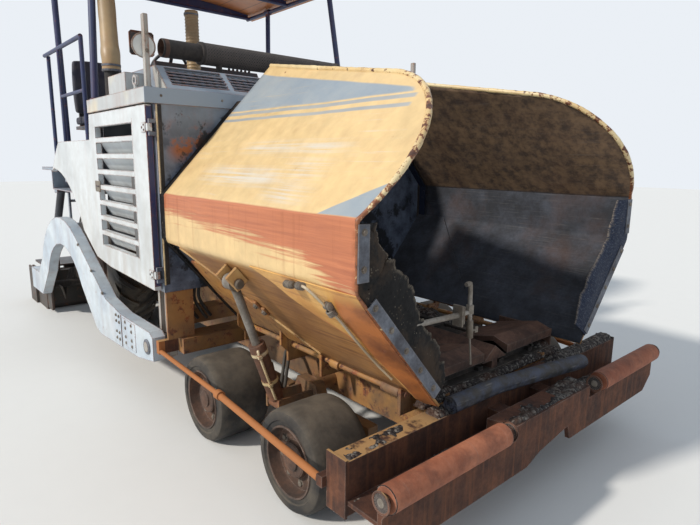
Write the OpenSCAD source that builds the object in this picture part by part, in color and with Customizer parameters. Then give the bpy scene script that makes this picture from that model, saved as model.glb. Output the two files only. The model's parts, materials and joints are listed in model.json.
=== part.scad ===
// Wheeled asphalt paver with its hopper wings folded up.
// X points forward to the push rollers, Y to the machine's left, Z up.
// The origin is on the ground under the middle of the machine.
// A station is a distance behind the front of the push rollers.

/* [Running gear] */
// Diameter of a solid front wheel
front_wheel_d = 530; // [480:5:560]
// Width of a solid front wheel
front_wheel_w = 330; // [260:5:340]
// Station of the first front axle
front_axle_back = 825; // [780:5:860]
// Distance between the two front axles of a bogie
bogie_spread = 920; // [860:5:960]
// Distance from the middle of the machine to the outer face of a front wheel
front_wheel_out = 1130; // [1110:1:1135]
// Diameter of a rear wheel
rear_wheel_d = 1300; // [1200:10:1340]
// Width of a rear wheel
rear_wheel_w = 410; // [340:5:410]
// Distance from the middle of the machine to the outer face of a rear wheel
rear_wheel_out = 920; // [910:1:930]
// Station of the rear axle
rear_axle_back = 4495; // [4460:5:4520]
// Radius of the stub axles at the front
front_stub_r = 40; // [30:1:45]
// Radius of the stub axles at the rear
rear_stub_r = 50; // [40:1:60]
// Radius of a steering pin
king_r = 25; // [20:1:28]
// Distance from the middle of the machine to a steering pin
king_y = 715; // [712:1:720]

/* [Hopper] */
// Distance from the middle of the machine to a wing's hinge
hinge_y = 655; // [650:1:665]
// Height of the wing hinges
hinge_z = 600; // [595:1:610]
// Radius of a wing's hinge rod
hinge_r = 16; // [12:1:18]
// Station of the front edge of the wings
wing_front = 270; // [260:1:285]
// Length of a wing
wing_len = 1735; // [1700:5:1745]
// Outer face of a raised wing from the middle of the machine
wing_y = 1190; // [1150:5:1210]
// Height where the sloping bottom plate meets the upright band
knee_z = 1225; // [1190:5:1250]
// Height of the crease between the upright band and the top panel
crease_z = 1500; // [1450:5:1550]
// Angle by which the top panel leans inwards
panel_lean = 43; // [38:1:45]
// Height of the top panel at the rear, along the panel
panel_h = 1120; // [1000:10:1140]
// Slope of the top panel's upper edge
panel_slope = 11.7; // [8:0.1:13]
// Radius of the front corner of the top panel
panel_corner = 570; // [500:5:620]
// How far the top panel's front edge stands ahead of its lower corner
panel_bulge = 55; // [20:5:70]
// Plate thickness of the wings
wing_t = 14; // [10:1:20]

/* [Push rollers] */
// Radius of a push roller
roller_r = 55; // [50:1:60]
// Height of the push rollers' axis
roller_z = 505; // [500:1:515]
// Length of a push roller
roller_len = 750; // [650:5:750]
// Radius of the push rollers' pins
roller_pin_r = 22; // [16:1:26]

/* [Body] */
// Width over the engine lid
body_w = 2500; // [2480:5:2520]
// Station of the front face of the bulkhead
bulkhead_back = 2075; // [2065:5:2080]
// Height of the underside of the engine lid
lid_z = 2040; // [2000:5:2060]
// Height of the rim of the engine lid
lid_h = 90; // [70:5:110]
// Length of the engine lid
lid_len = 1120; // [1100:5:1140]
// Thickness of the side doors
door_t = 40; // [30:1:45]
// Height of the platform's floor
platform_z = 1620; // [1600:5:1640]

/* [Canopy] */
// Height of the canopy's rim
canopy_z = 3380; // [3300:10:3450]
// Rise of the canopy's middle over its rim
canopy_rise = 90; // [60:5:120]
// Width of the canopy
canopy_w = 2480; // [2400:10:2500]
// Length of the canopy without its bowed ends
canopy_len = 1900; // [1800:10:2000]
// Radius of the canopy's posts
post_r = 26; // [20:1:32]

/* [Screed] */
// Distance from the rear axle to the front of the screed
screed_gap = 1100; // [1090:5:1150]
// Depth of the main screed
screed_depth = 405; // [380:5:420]
// Depth of a screed extension
ext_depth = 285; // [260:5:300]
// Width of a levelling arm
arm_t = 100; // [80:1:100]
// Radius of the augers
auger_r = 175; // [150:5:185]

/* [Cylinders] */
// Radius of a wing cylinder's barrel
wing_barrel_r = 45; // [36:1:48]
// Radius of a wing cylinder's rod
wing_rod_r = 24; // [18:1:28]
// Radius of a screed lift cylinder's barrel
lift_barrel_r = 38; // [30:1:40]
// Radius of a screed lift cylinder's rod
lift_rod_r = 20; // [14:1:24]

/* [Hidden] */

$fn = 48;
run = 0.05;
gap = 10;
side_y = body_w / 2;
deck_half = side_y - 100;
rail_side = side_y - 85;
lamp_y = side_y - 75;
lug_y = side_y - 60;
link_y = side_y - 32;
screed_back = rear_axle_back + screed_gap;
ext_back = screed_back + screed_depth + 5;
overall_len = ext_back + ext_depth + gap;
nose_x = overall_len / 2;
proud = 12;
door_out = side_y - proud;
door_y = door_out - door_t;
rail_y = 440;
rail_t = 30;
rail_out = rail_y + rail_t;
bogie_back = front_axle_back + bogie_spread / 2;
front_axle_z = front_wheel_d / 2;
rear_axle_z = rear_wheel_d / 2;
bulkhead_t = 20;
lid_top = lid_z + lid_h;
deck_end = bulkhead_back - gap + lid_len;
leg_z = 930;
beam_top = 510;
cross_top = 540;
beam_front = 50;
cross_front = 290;
cross_back = 390;
bulkhead_z = 885;
outrigger_top = 570;
floor_z = 581;
floor_t = 12;
floor_top = floor_z + floor_t;
king_boss_r = 45;
king_boss_h = 110;
tow_back = 2295;
tow_z = 480;
arm_in = side_y - arm_t;
screed_half = arm_in;
tow_pin_r = 35;
lift_top = [5050, 1400];
lift_eye = [5700, 520];
lift_y = arm_in - 120;
cyl_foot = [870, 340];
cyl_eye = [1140, 1090];
pin_r = 20;
auger_back = 5365;
auger_z = 330;

// X of a station
function bk(d) = nose_x - d;

// Box between two stations, two places across and two heights
module box(d0, d1, y0, y1, z0, z1) {
    translate([bk(d1), y0, z0]) cube([d1 - d0, y1 - y0, z1 - z0]);
}

// The same box on both sides of the machine
module box_pair(d0, d1, y0, y1, z0, z1) {
    both() box(d0, d1, y0, y1, z0, z1);
}

// Children once as drawn on the left and once mirrored to the right
module both() {
    children();
    mirror([0, 1, 0]) children();
}

// Children as drawn on the left, or mirrored for the right side
module on_side(right) {
    mirror([0, right ? 1 : 0, 0]) children();
}

// Round bars along X, Y and Z
module bar_x(d0, d1, y, z, r) {
    translate([bk(d1), y, z]) rotate([0, 90, 0]) cylinder(h = d1 - d0, r = r);
}
module bar_y(d, y0, y1, z, r) {
    translate([bk(d), y1, z]) rotate([90, 0, 0]) cylinder(h = y1 - y0, r = r);
}
module bar_z(d, y, z0, z1, r) {
    translate([bk(d), y, z0]) cylinder(h = z1 - z0, r = r);
}

// Round bar between two places, each a station, a place across and a height
module strut(a, b, r) {
    v = [a[0] - b[0], b[1] - a[1], b[2] - a[2]];
    len = norm(v);
    translate([bk(a[0]), a[1], a[2]])
        rotate([0, acos(v[2] / len), atan2(v[1], v[0])])
            cylinder(h = len, r = r);
}

// Plate with an outline of stations and heights, from y0 to y1
module side_plate(outline, y0, y1) {
    translate([0, y1, 0]) rotate([90, 0, 0]) linear_extrude(y1 - y0)
        polygon([for (p = outline) [bk(p[0]), p[1]]]);
}

// Plate with an outline of places across and heights, from station d0 to d1
module cross_plate(outline, d0, d1) {
    translate([bk(d1), 0, 0]) rotate([90, 0, 90]) linear_extrude(d1 - d0) polygon(outline);
}

// Points on an arc about a station and a height
function arc(c, r, a0, a1, n) =
    [for (i = [0 : n]) let (a = a0 + (a1 - a0) * i / n) [c[0] - r * cos(a), c[1] + r * sin(a)]];

// Rails, cross members and the wings' hinges
module chassis_frame() {
    color("darkgoldenrod") {
        both() {
            side_plate([[cross_back, 300], [cross_back, floor_z], [bulkhead_back + bulkhead_t, floor_z],
                [bulkhead_back + bulkhead_t, 1000], [5180, 1000], [5180, 300]], rail_y, rail_out);
            // hinge ears and the rod of a wing
            for (d = hinge_ears) {
                box(d - 10, d + 10, rail_out, hinge_y + 35, 500, floor_z - 3);
                box(d - 10, d + 10, hinge_y - 40, hinge_y + 35, floor_z - 3, hinge_z + 35);
            }
            bar_x(hinge_ears[0] - 20, hinge_ears[3] + 20, hinge_y, hinge_z, hinge_r);
        }
        cross_members();
    }
}
hinge_ears = [500, 1120, 1450, 1965];

// Walking beams with their pivots and steering bosses
module walking_beams() {
    color("goldenrod") both() {
        difference() {
            union() {
                side_plate([[front_axle_back - 90, 205], [front_axle_back - 90, 325], [bogie_back - 130, 325],
                    [bogie_back - 90, 420], [bogie_back + 90, 420], [bogie_back + 130, 325],
                    [front_axle_back + bogie_spread + 90, 325], [front_axle_back + bogie_spread + 90, 205]], 600, 670);
                bar_y(bogie_back, rail_out, 610, 380, 50);
                for (d = [front_axle_back, front_axle_back + bogie_spread]) {
                    bar_z(d, king_y, front_axle_z - king_boss_h / 2, front_axle_z + king_boss_h / 2, king_boss_r);
                    box(d - 30, d + 30, 660, king_y, front_axle_z - king_boss_h / 2, front_axle_z + king_boss_h / 2);
                }
            }
            for (d = [front_axle_back, front_axle_back + bogie_spread])
                bar_z(d, king_y, 0, 600, king_r);
        }
        // foot of a wing cylinder
        for (s = [-1, 1])
            box(bogie_back + 60 * s - 8, bogie_back + 60 * s + 8, 670, cyl_foot[0] + 40, 305, 380);
        bar_x(bogie_back - 68, bogie_back + 68, cyl_foot[0], cyl_foot[1], pin_r);
    }
}

// Beams that carry the front corners of the body and the tow points
module outriggers() {
    color("orange") both() {
        box(2030, 2200, rail_out, 1100, outrigger_top - 100, outrigger_top);
        box(bulkhead_back, bulkhead_back + bulkhead_t, 1000, side_y - 70, outrigger_top, bulkhead_z);
        for (y = [1000, 1090])
            box(bulkhead_back + bulkhead_t, 2195, y, y + 12, outrigger_top, bulkhead_z);
        box(2225, 2365, rail_out, arm_in - 90, 600, 700);
    }
}

// Housings and stubs of the rear wheels
module rear_axles() {
    color("peru") both() {
        bar_y(rear_axle_back, rail_out, rear_wheel_out - rear_wheel_w + 30, rear_axle_z, 120);
        bar_y(rear_axle_back, rail_out, rear_wheel_out - 60, rear_axle_z, rear_stub_r);
    }
}

// Pieces between the two rails
module cross_members() {
    for (d = [600, 1285, 1950])
        box(d - 40, d + 40, -rail_y, rail_y, 480, floor_z);
    box(5150, 5180, -rail_y, rail_y, 300, 560);
    box(5150, 5180, -rail_y, rail_y, 900, 1000);
    // gearbox and stubs of the augers
    box(5180, auger_back + 70, -60, 60, auger_z - 90, 560);
    bar_y(auger_back, -330, 330, auger_z, 25);
}

module front_crossbeam() {
    color("saddlebrown") {
        box(cross_front, cross_back, -1200, 1200, 300, cross_top);
        box_pair(cross_front, 412, 1200, 1212, 290, cross_top + 8);
    }
}

module push_beam() {
    color("sienna") {
        // deep front plate with cut ends and a notch for the tow hook
        cross_plate([[-1243, 440], [-1243, 345], [-1140, 258], [-250, 258], [-140, 300], [140, 345], [170, 262],
            [1140, 262], [1243, 345], [1243, 440]], beam_front, beam_front + 25);
        // shelf and ties back to the crossbeam
        box(beam_front + 25, cross_front, -1200, 1200, 350, 370);
        box_pair(190, cross_front, 150, 250, 370, 480);
        // block between the rollers, wider at its back
        translate([0, 0, 420]) linear_extrude(beam_top - 420)
            polygon([[bk(beam_front), -365], [bk(beam_front), 365], [bk(190), 405], [bk(190), -405]]);
        // bearings of the rollers
        both() {
            for (y = [425, 1225])
                side_plate([[75, 400], [75, 515], [60, 532], [35, 528], [25, 505], [28, 470], [50, 440], [50, 400]], y, y + 18);
            bar_y(roller_r, 430, 1240, roller_z, roller_pin_r);
        }
    }
}

module push_roller(right) {
    color("indianred") on_side(right) difference() {
        bar_y(roller_r, 844 - roller_len / 2, 844 + roller_len / 2, roller_z, roller_r);
        bar_y(roller_r, 400, 1300, roller_z, roller_pin_r + run);
    }
}

module conveyor() {
    color("dimgray") {
        box(420, 5140, 2 - rail_y, rail_y - 2, floor_z, floor_top);
        both() {
            box(420, 2015, rail_y - 2, 600, floor_z, floor_top);
            for (y = [80, 385])
                box(450, 5120, y, y + 40, floor_top, floor_top + 22);
            for (d = [480 : 310 : 5090])
                box(d, d + 40, 60, 430, floor_top, floor_top + 26);
        }
    }
}

module conveyor_hoods() {
    color("rosybrown") {
        box(430, 2060, -25, 25, floor_top, 640);
        cross_plate([[-110, 640], [0, 720], [110, 640]], 430, 2060);
        both() side_plate([[425, 655], [425, 700], [520, 730], [800, 660], [800, 630], [520, 700]], 112, 590);
        box_pair(425, 800, 590, 600, floor_top, 700);
    }
}

module hopper_apron() {
    r = 45;
    z = cross_top + r + 0.3;
    color("black") strut([296, -560, z], [172, 500, z], r);
}

module bulkhead() {
    color("slategray") {
        box(bulkhead_back, bulkhead_back + bulkhead_t, -door_y + 10, door_y - 10, bulkhead_z, lid_z);
        both() {
            box(bulkhead_back + bulkhead_t, bulkhead_back + 70, door_y - 60, door_y - 10, bulkhead_z, lid_z);
            // hinges of a side door
            for (z = door_hinges) {
                bar_z(hinge_back, door_hinge_y, z - 50, z + 50, 8);
                for (s = [-1, 1])
                    box(bulkhead_back, bulkhead_back + bulkhead_t, door_y - 10, door_hinge_y + 8, z + 37 * s - 12, z + 37 * s + 12);
            }
        }
    }
}

module engine_lid() {
    color("gainsboro") {
        difference() {
            box(bulkhead_back - gap, deck_end, -side_y, side_y, lid_z, lid_top);
            box(bulkhead_back + 10, deck_end - 15, -side_y + 15, side_y - 15, lid_z - 1, lid_top - 15);
        }
        box_pair(2420, 2740, side_y - 145, side_y - 20, lid_top, lid_top + 120);
        // lifting eyes
        both() difference() {
            union() {
                bar_z(2350, lug_y, lid_top, lid_top + 40, 14);
                bar_y(2350, lug_y - 10, lug_y + 10, lid_top + 65, 34);
            }
            bar_y(2350, lug_y - 20, lug_y + 20, lid_top + 65, 18);
        }
    }
}

module engine_block() {
    color("dimgray") box(2320, 3050, -490, 490, 1000, 1800);
}

// Side door with its wheel arch, steps and louvres
module side_door(right) {
    arch = arc([rear_axle_back - 95, rear_axle_z], 970, 30, 88, 8);
    outline = concat([[door_front, 900], [door_front, lid_z - 8], [3205, lid_z - 8], [3235, 1850], [4145, 1850],
        [4275, 1750], [4440, 1620 - 35]], [for (i = [8 : -1 : 0]) arch[i]], [[3250, 960], [2950, 925]]);
    color("whitesmoke") on_side(right) {
        difference() {
            side_plate(outline, door_y, door_out);
            for (i = [0 : 7])
                box(louvre_front, louvre_front + louvre_len, door_y - 1, door_out + 1,
                    louvre_z + i * louvre_pitch, louvre_z + i * louvre_pitch + louvre_h);
        }
        for (i = [0 : 6])
            louvre(louvre_z + i * louvre_pitch);
        for (z = door_hinges) difference() {
            box(hinge_back - 9, door_front + 20, door_hinge_y - 9, door_out, z - 23, z + 23);
            bar_z(hinge_back, door_hinge_y, z - 30, z + 30, 8 + run);
        }
    }
}
door_front = 2102;
hinge_back = bulkhead_back + bulkhead_t / 2;
door_hinge_y = door_out - 18;
door_hinges = [1000, 1900];
louvre_front = 2340;
louvre_len = 740;
louvre_z = 1075;
louvre_pitch = 112;
louvre_h = 78;

// One sloping blade behind a slot
module louvre(z) {
    cross_plate([[door_y - 50, z - 4], [door_y - 44, z - 4], [door_y + 8, z + louvre_h + 6],
        [door_y, z + louvre_h + 6]], louvre_front - 10, louvre_front + louvre_len + 10);
}

module grille_box() {
    outer = [[2085, lid_top], [2250, 2285], [2850, 2285], [2850, lid_top]];
    color("lightsteelblue") {
        difference() {
            side_plate(outer, -1100, 1100);
            side_plate([[2118, lid_top - 1], [2262, 2270], [2835, 2270], [2835, lid_top - 1]], -1085, 1085);
            for (y = [-1050 : 425 : 700])
                side_plate([[2040, lid_top + 30], [2205, lid_top + 185], [2260, lid_top + 130], [2150, lid_top + 30]],
                    y, y + 380);
        }
        for (i = [0 : 4])
            for (z = [2165 : 20 : 2255])
                bar_y(2122 + (z - 2165) * 1.06, -1050 + 425 * i - 5, -665 + 425 * i, z, 4);
    }
}

module exhaust() {
    color("black") {
        bar_y(2395, -1000, 560, 2420, 58);
        for (y = [-600, 100, 400]) {
            box(2365, 2425, y, y + 20, 2285, 2400);
        }
        difference() {
            bar_y(2395, -720, 450, 2420, 72);
            bar_y(2395, -700, 430, 2420, 69);
        }
    }
}

module air_ducts() {
    color("tan") {
        strut([2960, -1130, lid_top], duct_knees[0], 58);
        for (i = [0 : 2])
            strut(duct_knees[i], duct_knees[i + 1], 66);
        for (i = [0 : 2])
            translate([bk(duct_knees[i][0]), duct_knees[i][1], duct_knees[i][2]]) sphere(r = 72);
        strut([3400, -300, platform_z], [3400, -300, 2950], 58);
    }
}

duct_knees = [[2960, -1130, 2390], [3190, -1060, 2800], [3400, -1000, 3230], [3400, -1000, canopy_z + 20]];

module work_lamps() {
    color("lightgray") both() {
        box(2175, 2215, lamp_y - 15, lamp_y + 15, lid_top, 2560);
        bar_x(2215, 2275, lamp_y, 2385, 75);
    }
}

module rear_tank() {
    color("slategray") box(3300, 4900, -480, 480, 1000, platform_z - 30);
}

module platform() {
    color("slategray") {
        box(deck_end, 5250, -deck_half, deck_half, platform_z - 30, platform_z);
        box(deck_end - 15, deck_end, -deck_half, deck_half, 1000, lid_z);
        box_pair(deck_end, 4250, deck_half - 10, deck_half + 30, 1500, 1850);
        // wheel guards
        box_pair(3900, 4960, 480, 1130, 1400, 1412);
        box_pair(4940, 4960, 480, 1130, 1412, platform_z - 30);
        // ears of the screed lift cylinders
        both() {
            for (y = [lift_y - 56, lift_y + 42])
                box(lift_top[0] - 50, lift_top[0] + 50, y, y + 14, lift_top[1] - 45, platform_z - 30);
            bar_y(lift_top[0], lift_y - 50, lift_y + 50, lift_top[1], pin_r);
        }
        // ladder at the back
        both() {
            for (y = [560, 900])
                box(5250, 5290, y, y + 20, 700, platform_z);
            for (z = [720 : 260 : 1500])
                box(5255, 5345, 580, 900, z, z + 25);
        }
    }
}

module console() {
    color("darkslategray") {
        side_plate([[3620, platform_z], [3620, 2420], [3700, 2560], [3900, 2440], [3900, 2380], [3760, 2300],
            [3760, platform_z]], -520, 520);
        translate([bk(3905), -300, 2520]) rotate([0, -60, 0]) rotate_extrude()
            translate([170, 0]) circle(r = 14, $fn = 24);
        translate([bk(3905), -300, 2520]) rotate([0, -60, 0]) translate([0, 0, -120]) cylinder(h = 125, r = 22);
        translate([bk(3905), -300, 2520]) rotate([0, -60, 0]) translate([-172, -15, -5]) cube([344, 30, 10]);
    }
}

module seat_frames() {
    color("dimgray") both() {
        box(4280, 4520, 640, 880, platform_z, 1980);
        box(4200, 4600, 560, 960, 1980, 2010);
        box(4600, 4625, 600, 920, 1980, 2560);
    }
}

module seat_pads() {
    color("darkslateblue") both() {
        box(4180, 4590, 545, 975, 2010.3, 2110);
        box(4500, 4599.7, 545, 975, 2125, 2620);
    }
}

module handrails() {
    color("midnightblue") both() {
        strut([3515, rail_side, 1850], [3515, rail_side, 2640], 17);
        strut([3515, rail_side, 2640], [4665, rail_side, 2640], 17);
        strut([3515, rail_side, 2240], [4190, rail_side, 2240], 14);
        strut([4190, rail_side, 1850], [4190, rail_side, 2640], 14);
        strut([4665, deck_half - 15, platform_z], [4665, deck_half - 15, 2640], 17);
    }
}

module canopy_frame() {
    color("midnightblue") both() {
        // posts between a foot and a collar on the side rail
        strut([3150, side_y - 50, lid_top + 6], [3300, canopy_side, canopy_z - 20], post_r);
        bar_z(3150, side_y - 50, lid_top, lid_top + 14, post_r + 8);
        strut([4400, deck_half - 60, platform_z + 6], [4400, canopy_side, canopy_z - 20], post_r);
        bar_z(4400, deck_half - 60, platform_z, platform_z + 14, post_r + 8);
        for (d = [3300, 4400])
            bar_x(d - 40, d + 40, canopy_side, canopy_z - 20, post_r + 5);
        strut([3150, canopy_side, canopy_z - 20], [4850, canopy_side, canopy_z - 20], 20);
        for (d = canopy_ribs)
            strut([d, 0, canopy_z - 20], [d, canopy_side, canopy_z - 20], 18);
    }
    // ribs that carry the roof
    color("midnightblue") for (d = canopy_ribs)
        cross_plate(concat([for (i = [-7 : 7]) roof_point(i)],
            [[roof_rim * 7 / 8, canopy_z - 20], [-roof_rim * 7 / 8, canopy_z - 20]]), d - 4, d + 4);
}
canopy_ribs = [3200, 4000, 4800];
roof_rim = canopy_w / 2;
canopy_side = roof_rim - 130;

// Corner of the roof's underside, -8 to 8 across
function roof_point(i) = [roof_rim * i / 8, canopy_z + canopy_rise * (1 - pow(i / 8, 2))];

module canopy_roof() {
    bow = [for (i = [-8 : 8]) 180 * (1 - pow(i / 8, 2))];
    color("peru") intersection() {
        cross_plate(concat([for (i = [-8 : 8]) roof_point(i) + [0, 25]], [for (i = [8 : -1 : -8]) roof_point(i)]),
            canopy_front - 200, canopy_front + canopy_len + 200);
        translate([0, 0, canopy_z - 50]) linear_extrude(300) polygon(concat(
            [for (i = [-8 : 8]) [bk(canopy_front - bow[i + 8]), roof_rim * i / 8]],
            [for (i = [8 : -1 : -8]) [bk(canopy_front + canopy_len + bow[i + 8]), roof_rim * i / 8]]));
    }
}
canopy_front = 3050;

module tow_guides() {
    color("lightgray") both() {
        for (d = [tow_back - 70, tow_back + 35])
            box(d, d + 35, arm_in - 90, arm_in - 30, 400, leg_z);
        box(tow_back - 35, tow_back + 35, arm_in - 85, arm_in - 30, tow_z - 60, tow_z + 60);
        bar_y(tow_back, arm_in - 85, side_y, tow_z, tow_pin_r);
    }
}

module guide_rods() {
    color("sienna") both() {
        strut([2130, link_y, 492], [1330, link_y, 468], 14);
        strut([1340, link_y, 468], [440, link_y, 402], 18);
        bar_x(1310, 1350, link_y, 468, 26);
        box(2110, 2150, 1100, link_y + 14, 475, 560);
        box(412, 450, 1180, link_y + 18, 380, 430);
    }
}

// Fork, pin and stub of one steered wheel, drawn on the left
module knuckle(right, axle) {
    d = front_axle_back + bogie_spread * axle;
    color("dimgray") on_side(right) {
        bar_z(d, king_y, front_axle_z - 90, front_axle_z + 90, king_r - run);
        for (z = [front_axle_z - 90, front_axle_z + 65])
            box(d - 30, d + 30, king_y - 20, 790, z, z + 25);
        box(d - 60, d + 60, 772, 790, front_axle_z - 90, front_axle_z + 90);
        bar_y(d, 780, front_wheel_out - 45, front_axle_z, front_stub_r);
    }
}

// Solid tyre on a dished rim, drawn on the left
module front_wheel(right, axle) {
    d = front_axle_back + bogie_spread * axle;
    in_y = front_wheel_out - front_wheel_w;
    color("black") on_side(right) difference() {
        union() {
            difference() {
                bar_y(d, in_y, front_wheel_out, front_axle_z, front_wheel_d / 2);
                bar_y(d, in_y - 1, front_wheel_out + 1, front_axle_z, front_wheel_d / 2 - 85);
            }
            bar_y(d, front_wheel_out - 80, front_wheel_out - 60, front_axle_z, front_wheel_d / 2 - 84);
            bar_y(d, front_wheel_out - 200, front_wheel_out - 50, front_axle_z, 80);
        }
        bar_y(d, in_y - 1, front_wheel_out + 1, front_axle_z, front_stub_r + run);
    }
}

// Large rear wheel with its rim, drawn on the left
module rear_wheel(right) {
    in_y = rear_wheel_out - rear_wheel_w;
    color("black") on_side(right) difference() {
        union() {
            translate([bk(rear_axle_back), rear_wheel_out, rear_axle_z]) rotate([90, 0, 0])
                rotate_extrude($fn = 96) rear_section();
            bar_y(rear_axle_back, rear_wheel_out - 120, rear_wheel_out - 95, rear_axle_z, 322);
            bar_y(rear_axle_back, rear_wheel_out - 240, rear_wheel_out - 80, rear_axle_z, 130);
        }
        bar_y(rear_axle_back, in_y - 1, rear_wheel_out + 1, rear_axle_z, rear_stub_r + run);
    }
}

// Half section of the rear tyre and rim, radius across and width along
module rear_section() {
    r = rear_wheel_d / 2;
    w = rear_wheel_w;
    polygon([[300, 30], [320, 10], [400, 0], [r - 90, 4], [r - 25, 30], [r - 5, 90], [r, w / 2], [r - 5, w - 90],
        [r - 25, w - 30], [r - 90, w - 4], [400, w], [320, w - 10], [300, w - 30]]);
}

// Folded hopper wing, drawn on the left in its raised place
module hopper_wing(right) {
    wing_rear = wing_front + wing_len;
    color("burlywood") on_side(right) difference() {
        union() {
            cross_plate(wing_section, wing_front, wing_rear);
            translate([bk(wing_front), wing_y - wing_t, crease_z]) rotate([panel_lean, 0, 0]) wing_panel();
            // hinge lugs
            for (p = [[520, 640], [980, 1090]])
                bar_x(p[0], p[1], hinge_y, hinge_z, 30);
            // clevis of the cylinder
            for (s = [-1, 1])
                translate([bk(bogie_back + 52 * s), cyl_eye[0], cyl_eye[1]]) rotate([wing_rise, 0, 0])
                    translate([-8, -34, -32]) cube([16, 110, 86]);
            bar_x(bogie_back - 58, bogie_back + 58, cyl_eye[0], cyl_eye[1], 12);
            // second plate outside, with the slanting lower edge
            plate_slab([[wing_front, 70], [wing_front, 816], [wing_front + 770, 816], [wing_front + 180, 340],
                [wing_front + 105, 70]], -doubler_t, 2);
            // clamp strips of the seal
            cross_plate([wing_at(120, 2), wing_at(740, 2), wing_at(740, 57), wing_at(120, 57)], wing_front - 14, wing_front);
            box(wing_front - 14, wing_front, wing_y - 57, wing_y - 2, knee_z + 30, crease_z - 20);
        }
        // the rear lower corner belongs to the hopper's fixed corner plate
        plate_slab([cut_edge[0], cut_edge[1], [wing_rear + 50, cut_edge[1][1]], [wing_rear + 50, cut_edge[0][1]]], -80, 80);
        bar_x(wing_front - 1, wing_rear + 1, hinge_y, hinge_z, hinge_r + run);
        for (d = hinge_ears)
            box(d - 20, d + 20, hinge_y - 60, hinge_y + 60, hinge_z - 60, hinge_z + 60);
    }
}
doubler_t = 20;
// slanting rear edge of the bottom plate, as stations and places up along the plate
cut_edge = [[1000, -54], [1870, 806]];

// Slab in the bottom plate's own plane from an outline of stations and places up along it
module plate_slab(outline, in0, in1) {
    translate([0, hinge_y, hinge_z]) rotate([wing_rise, 0, 0]) translate([0, 0, in0]) linear_extrude(in1 - in0)
        polygon([for (p = outline) [bk(p[0]), p[1]]]);
}

// Fixed plates that close the hopper behind the slanting edges of the wings
module hopper_corners() {
    color("chocolate") both() {
        plate_slab([[1145, 62], [1990, 62], [1990, 330], [1912, 655], [1745, 655]], 0, wing_t);
        for (d = [hinge_ears[2], hinge_ears[3]])
            cross_plate([[hinge_y + 35, 560], [740, 610], [740, 704], [hinge_y + 35, 644]], d - 10, d + 10);
    }
}
wing_rise = atan2(knee_z - hinge_z, wing_y - hinge_y);

// Place across and height of a point up along the bottom plate and in from its outer face
function wing_at(up, in) = [hinge_y + up * cos(wing_rise) - in * sin(wing_rise),
    hinge_z + up * sin(wing_rise) + in * cos(wing_rise)];

// bottom plate and upright band, as places across and heights
wing_section = [[hinge_y, hinge_z + 24], [wing_y - wing_t, knee_z + 6], [wing_y - wing_t, crease_z],
    [wing_y - wing_t + wing_t * cos(panel_lean), crease_z + wing_t * sin(panel_lean)],
    [wing_y, crease_z + wing_t * tan(panel_lean / 2)], [wing_y, knee_z],
    [hinge_y + 20, hinge_z + 24 - 0.2 * wing_t]];

// Top panel in its own plane, rounded at the front, X rearwards and Z up along the panel
module wing_panel() {
    front_h = panel_h - wing_len * tan(panel_slope);
    mid_x = panel_bulge - panel_corner;
    mid_z = front_h - mid_x * tan(panel_slope) - panel_corner / cos(panel_slope);
    lower_r = (mid_z * mid_z + panel_bulge * panel_bulge) / (2 * panel_bulge);
    lower_a = asin(mid_z / lower_r);
    rotate([90, 0, 0]) translate([0, 0, -wing_t]) linear_extrude(wing_t)
        polygon(concat([[-wing_len, -1], [0, -1]],
            [for (i = [0 : 5]) let (a = lower_a * (i / 5 - 1))
                [panel_bulge - lower_r + lower_r * cos(a), mid_z + lower_r * sin(a)]],
            [for (i = [1 : 12]) let (a = (90 - panel_slope) * i / 12)
                [mid_x + panel_corner * cos(a), mid_z + panel_corner * sin(a)]],
            [[-wing_len, panel_h]]));
}

// Rubber behind the clamp strips that keeps the asphalt in
module wing_seal(right) {
    edge = wing_y - wing_t - 1;
    color("black") on_side(right)
        cross_plate([wing_at(130, wing_t + 2), wing_at(780, wing_t + 2), [edge, knee_z + 12], [edge, crease_z - 75],
            [wing_y - 140, crease_z - 75], [wing_y - 190, knee_z + 90], wing_at(600, 200), wing_at(400, 190),
            wing_at(130, 120)], wing_front + 0.3, wing_front + 9);
}

module wing_barrel(right) {
    color("peru") on_side(right) difference() {
        union() {
            bar_x(bogie_back - 48, bogie_back + 48, cyl_foot[0], cyl_foot[1], 38);
            along_cylinder(cyl_foot, cyl_eye) cylinder(h = 410, r = wing_barrel_r);
        }
        bar_x(bogie_back - 60, bogie_back + 60, cyl_foot[0], cyl_foot[1], pin_r + run);
        along_cylinder(cyl_foot, cyl_eye) translate([0, 0, 100]) cylinder(h = 320, r = wing_rod_r + run);
    }
}

module wing_rod(right) {
    reach = norm(cyl_eye - cyl_foot);
    color("silver") on_side(right) difference() {
        union() {
            along_cylinder(cyl_foot, cyl_eye) translate([0, 0, 360]) cylinder(h = reach - 360, r = wing_rod_r);
            bar_x(bogie_back - 38, bogie_back + 38, cyl_eye[0], cyl_eye[1], 44);
        }
        bar_x(bogie_back - 60, bogie_back + 60, cyl_eye[0], cyl_eye[1], 32);
    }
}

// Frame whose Z runs from the foot to the eye of a wing cylinder
module along_cylinder(foot, eye) {
    v = eye - foot;
    translate([bk(bogie_back), foot[0], foot[1]]) rotate([-atan2(v[0], v[1]), 0, 0]) children();
}

// Arched levelling arms
module tow_arms() {
    c = [4345, 200];
    top = arc(c, 970, 60, 150, 10);
    low = arc(c, 720, 150, 36, 10);
    outline = concat([[2200, 400], [2200, 560], [2250, 590], [2800, 590], [3140, 640]], top,
        [[5420, 480], [5800, 480], [5800, 250], [5330, 250]], low, [[3420, 340], [3300, 310], [2480, 350]]);
    color("white") both() difference() {
        side_plate(outline, arm_in, side_y - proud);
        bar_y(tow_back, arm_in - 1, side_y + 1, tow_z, tow_pin_r + run);
    }
}

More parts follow.
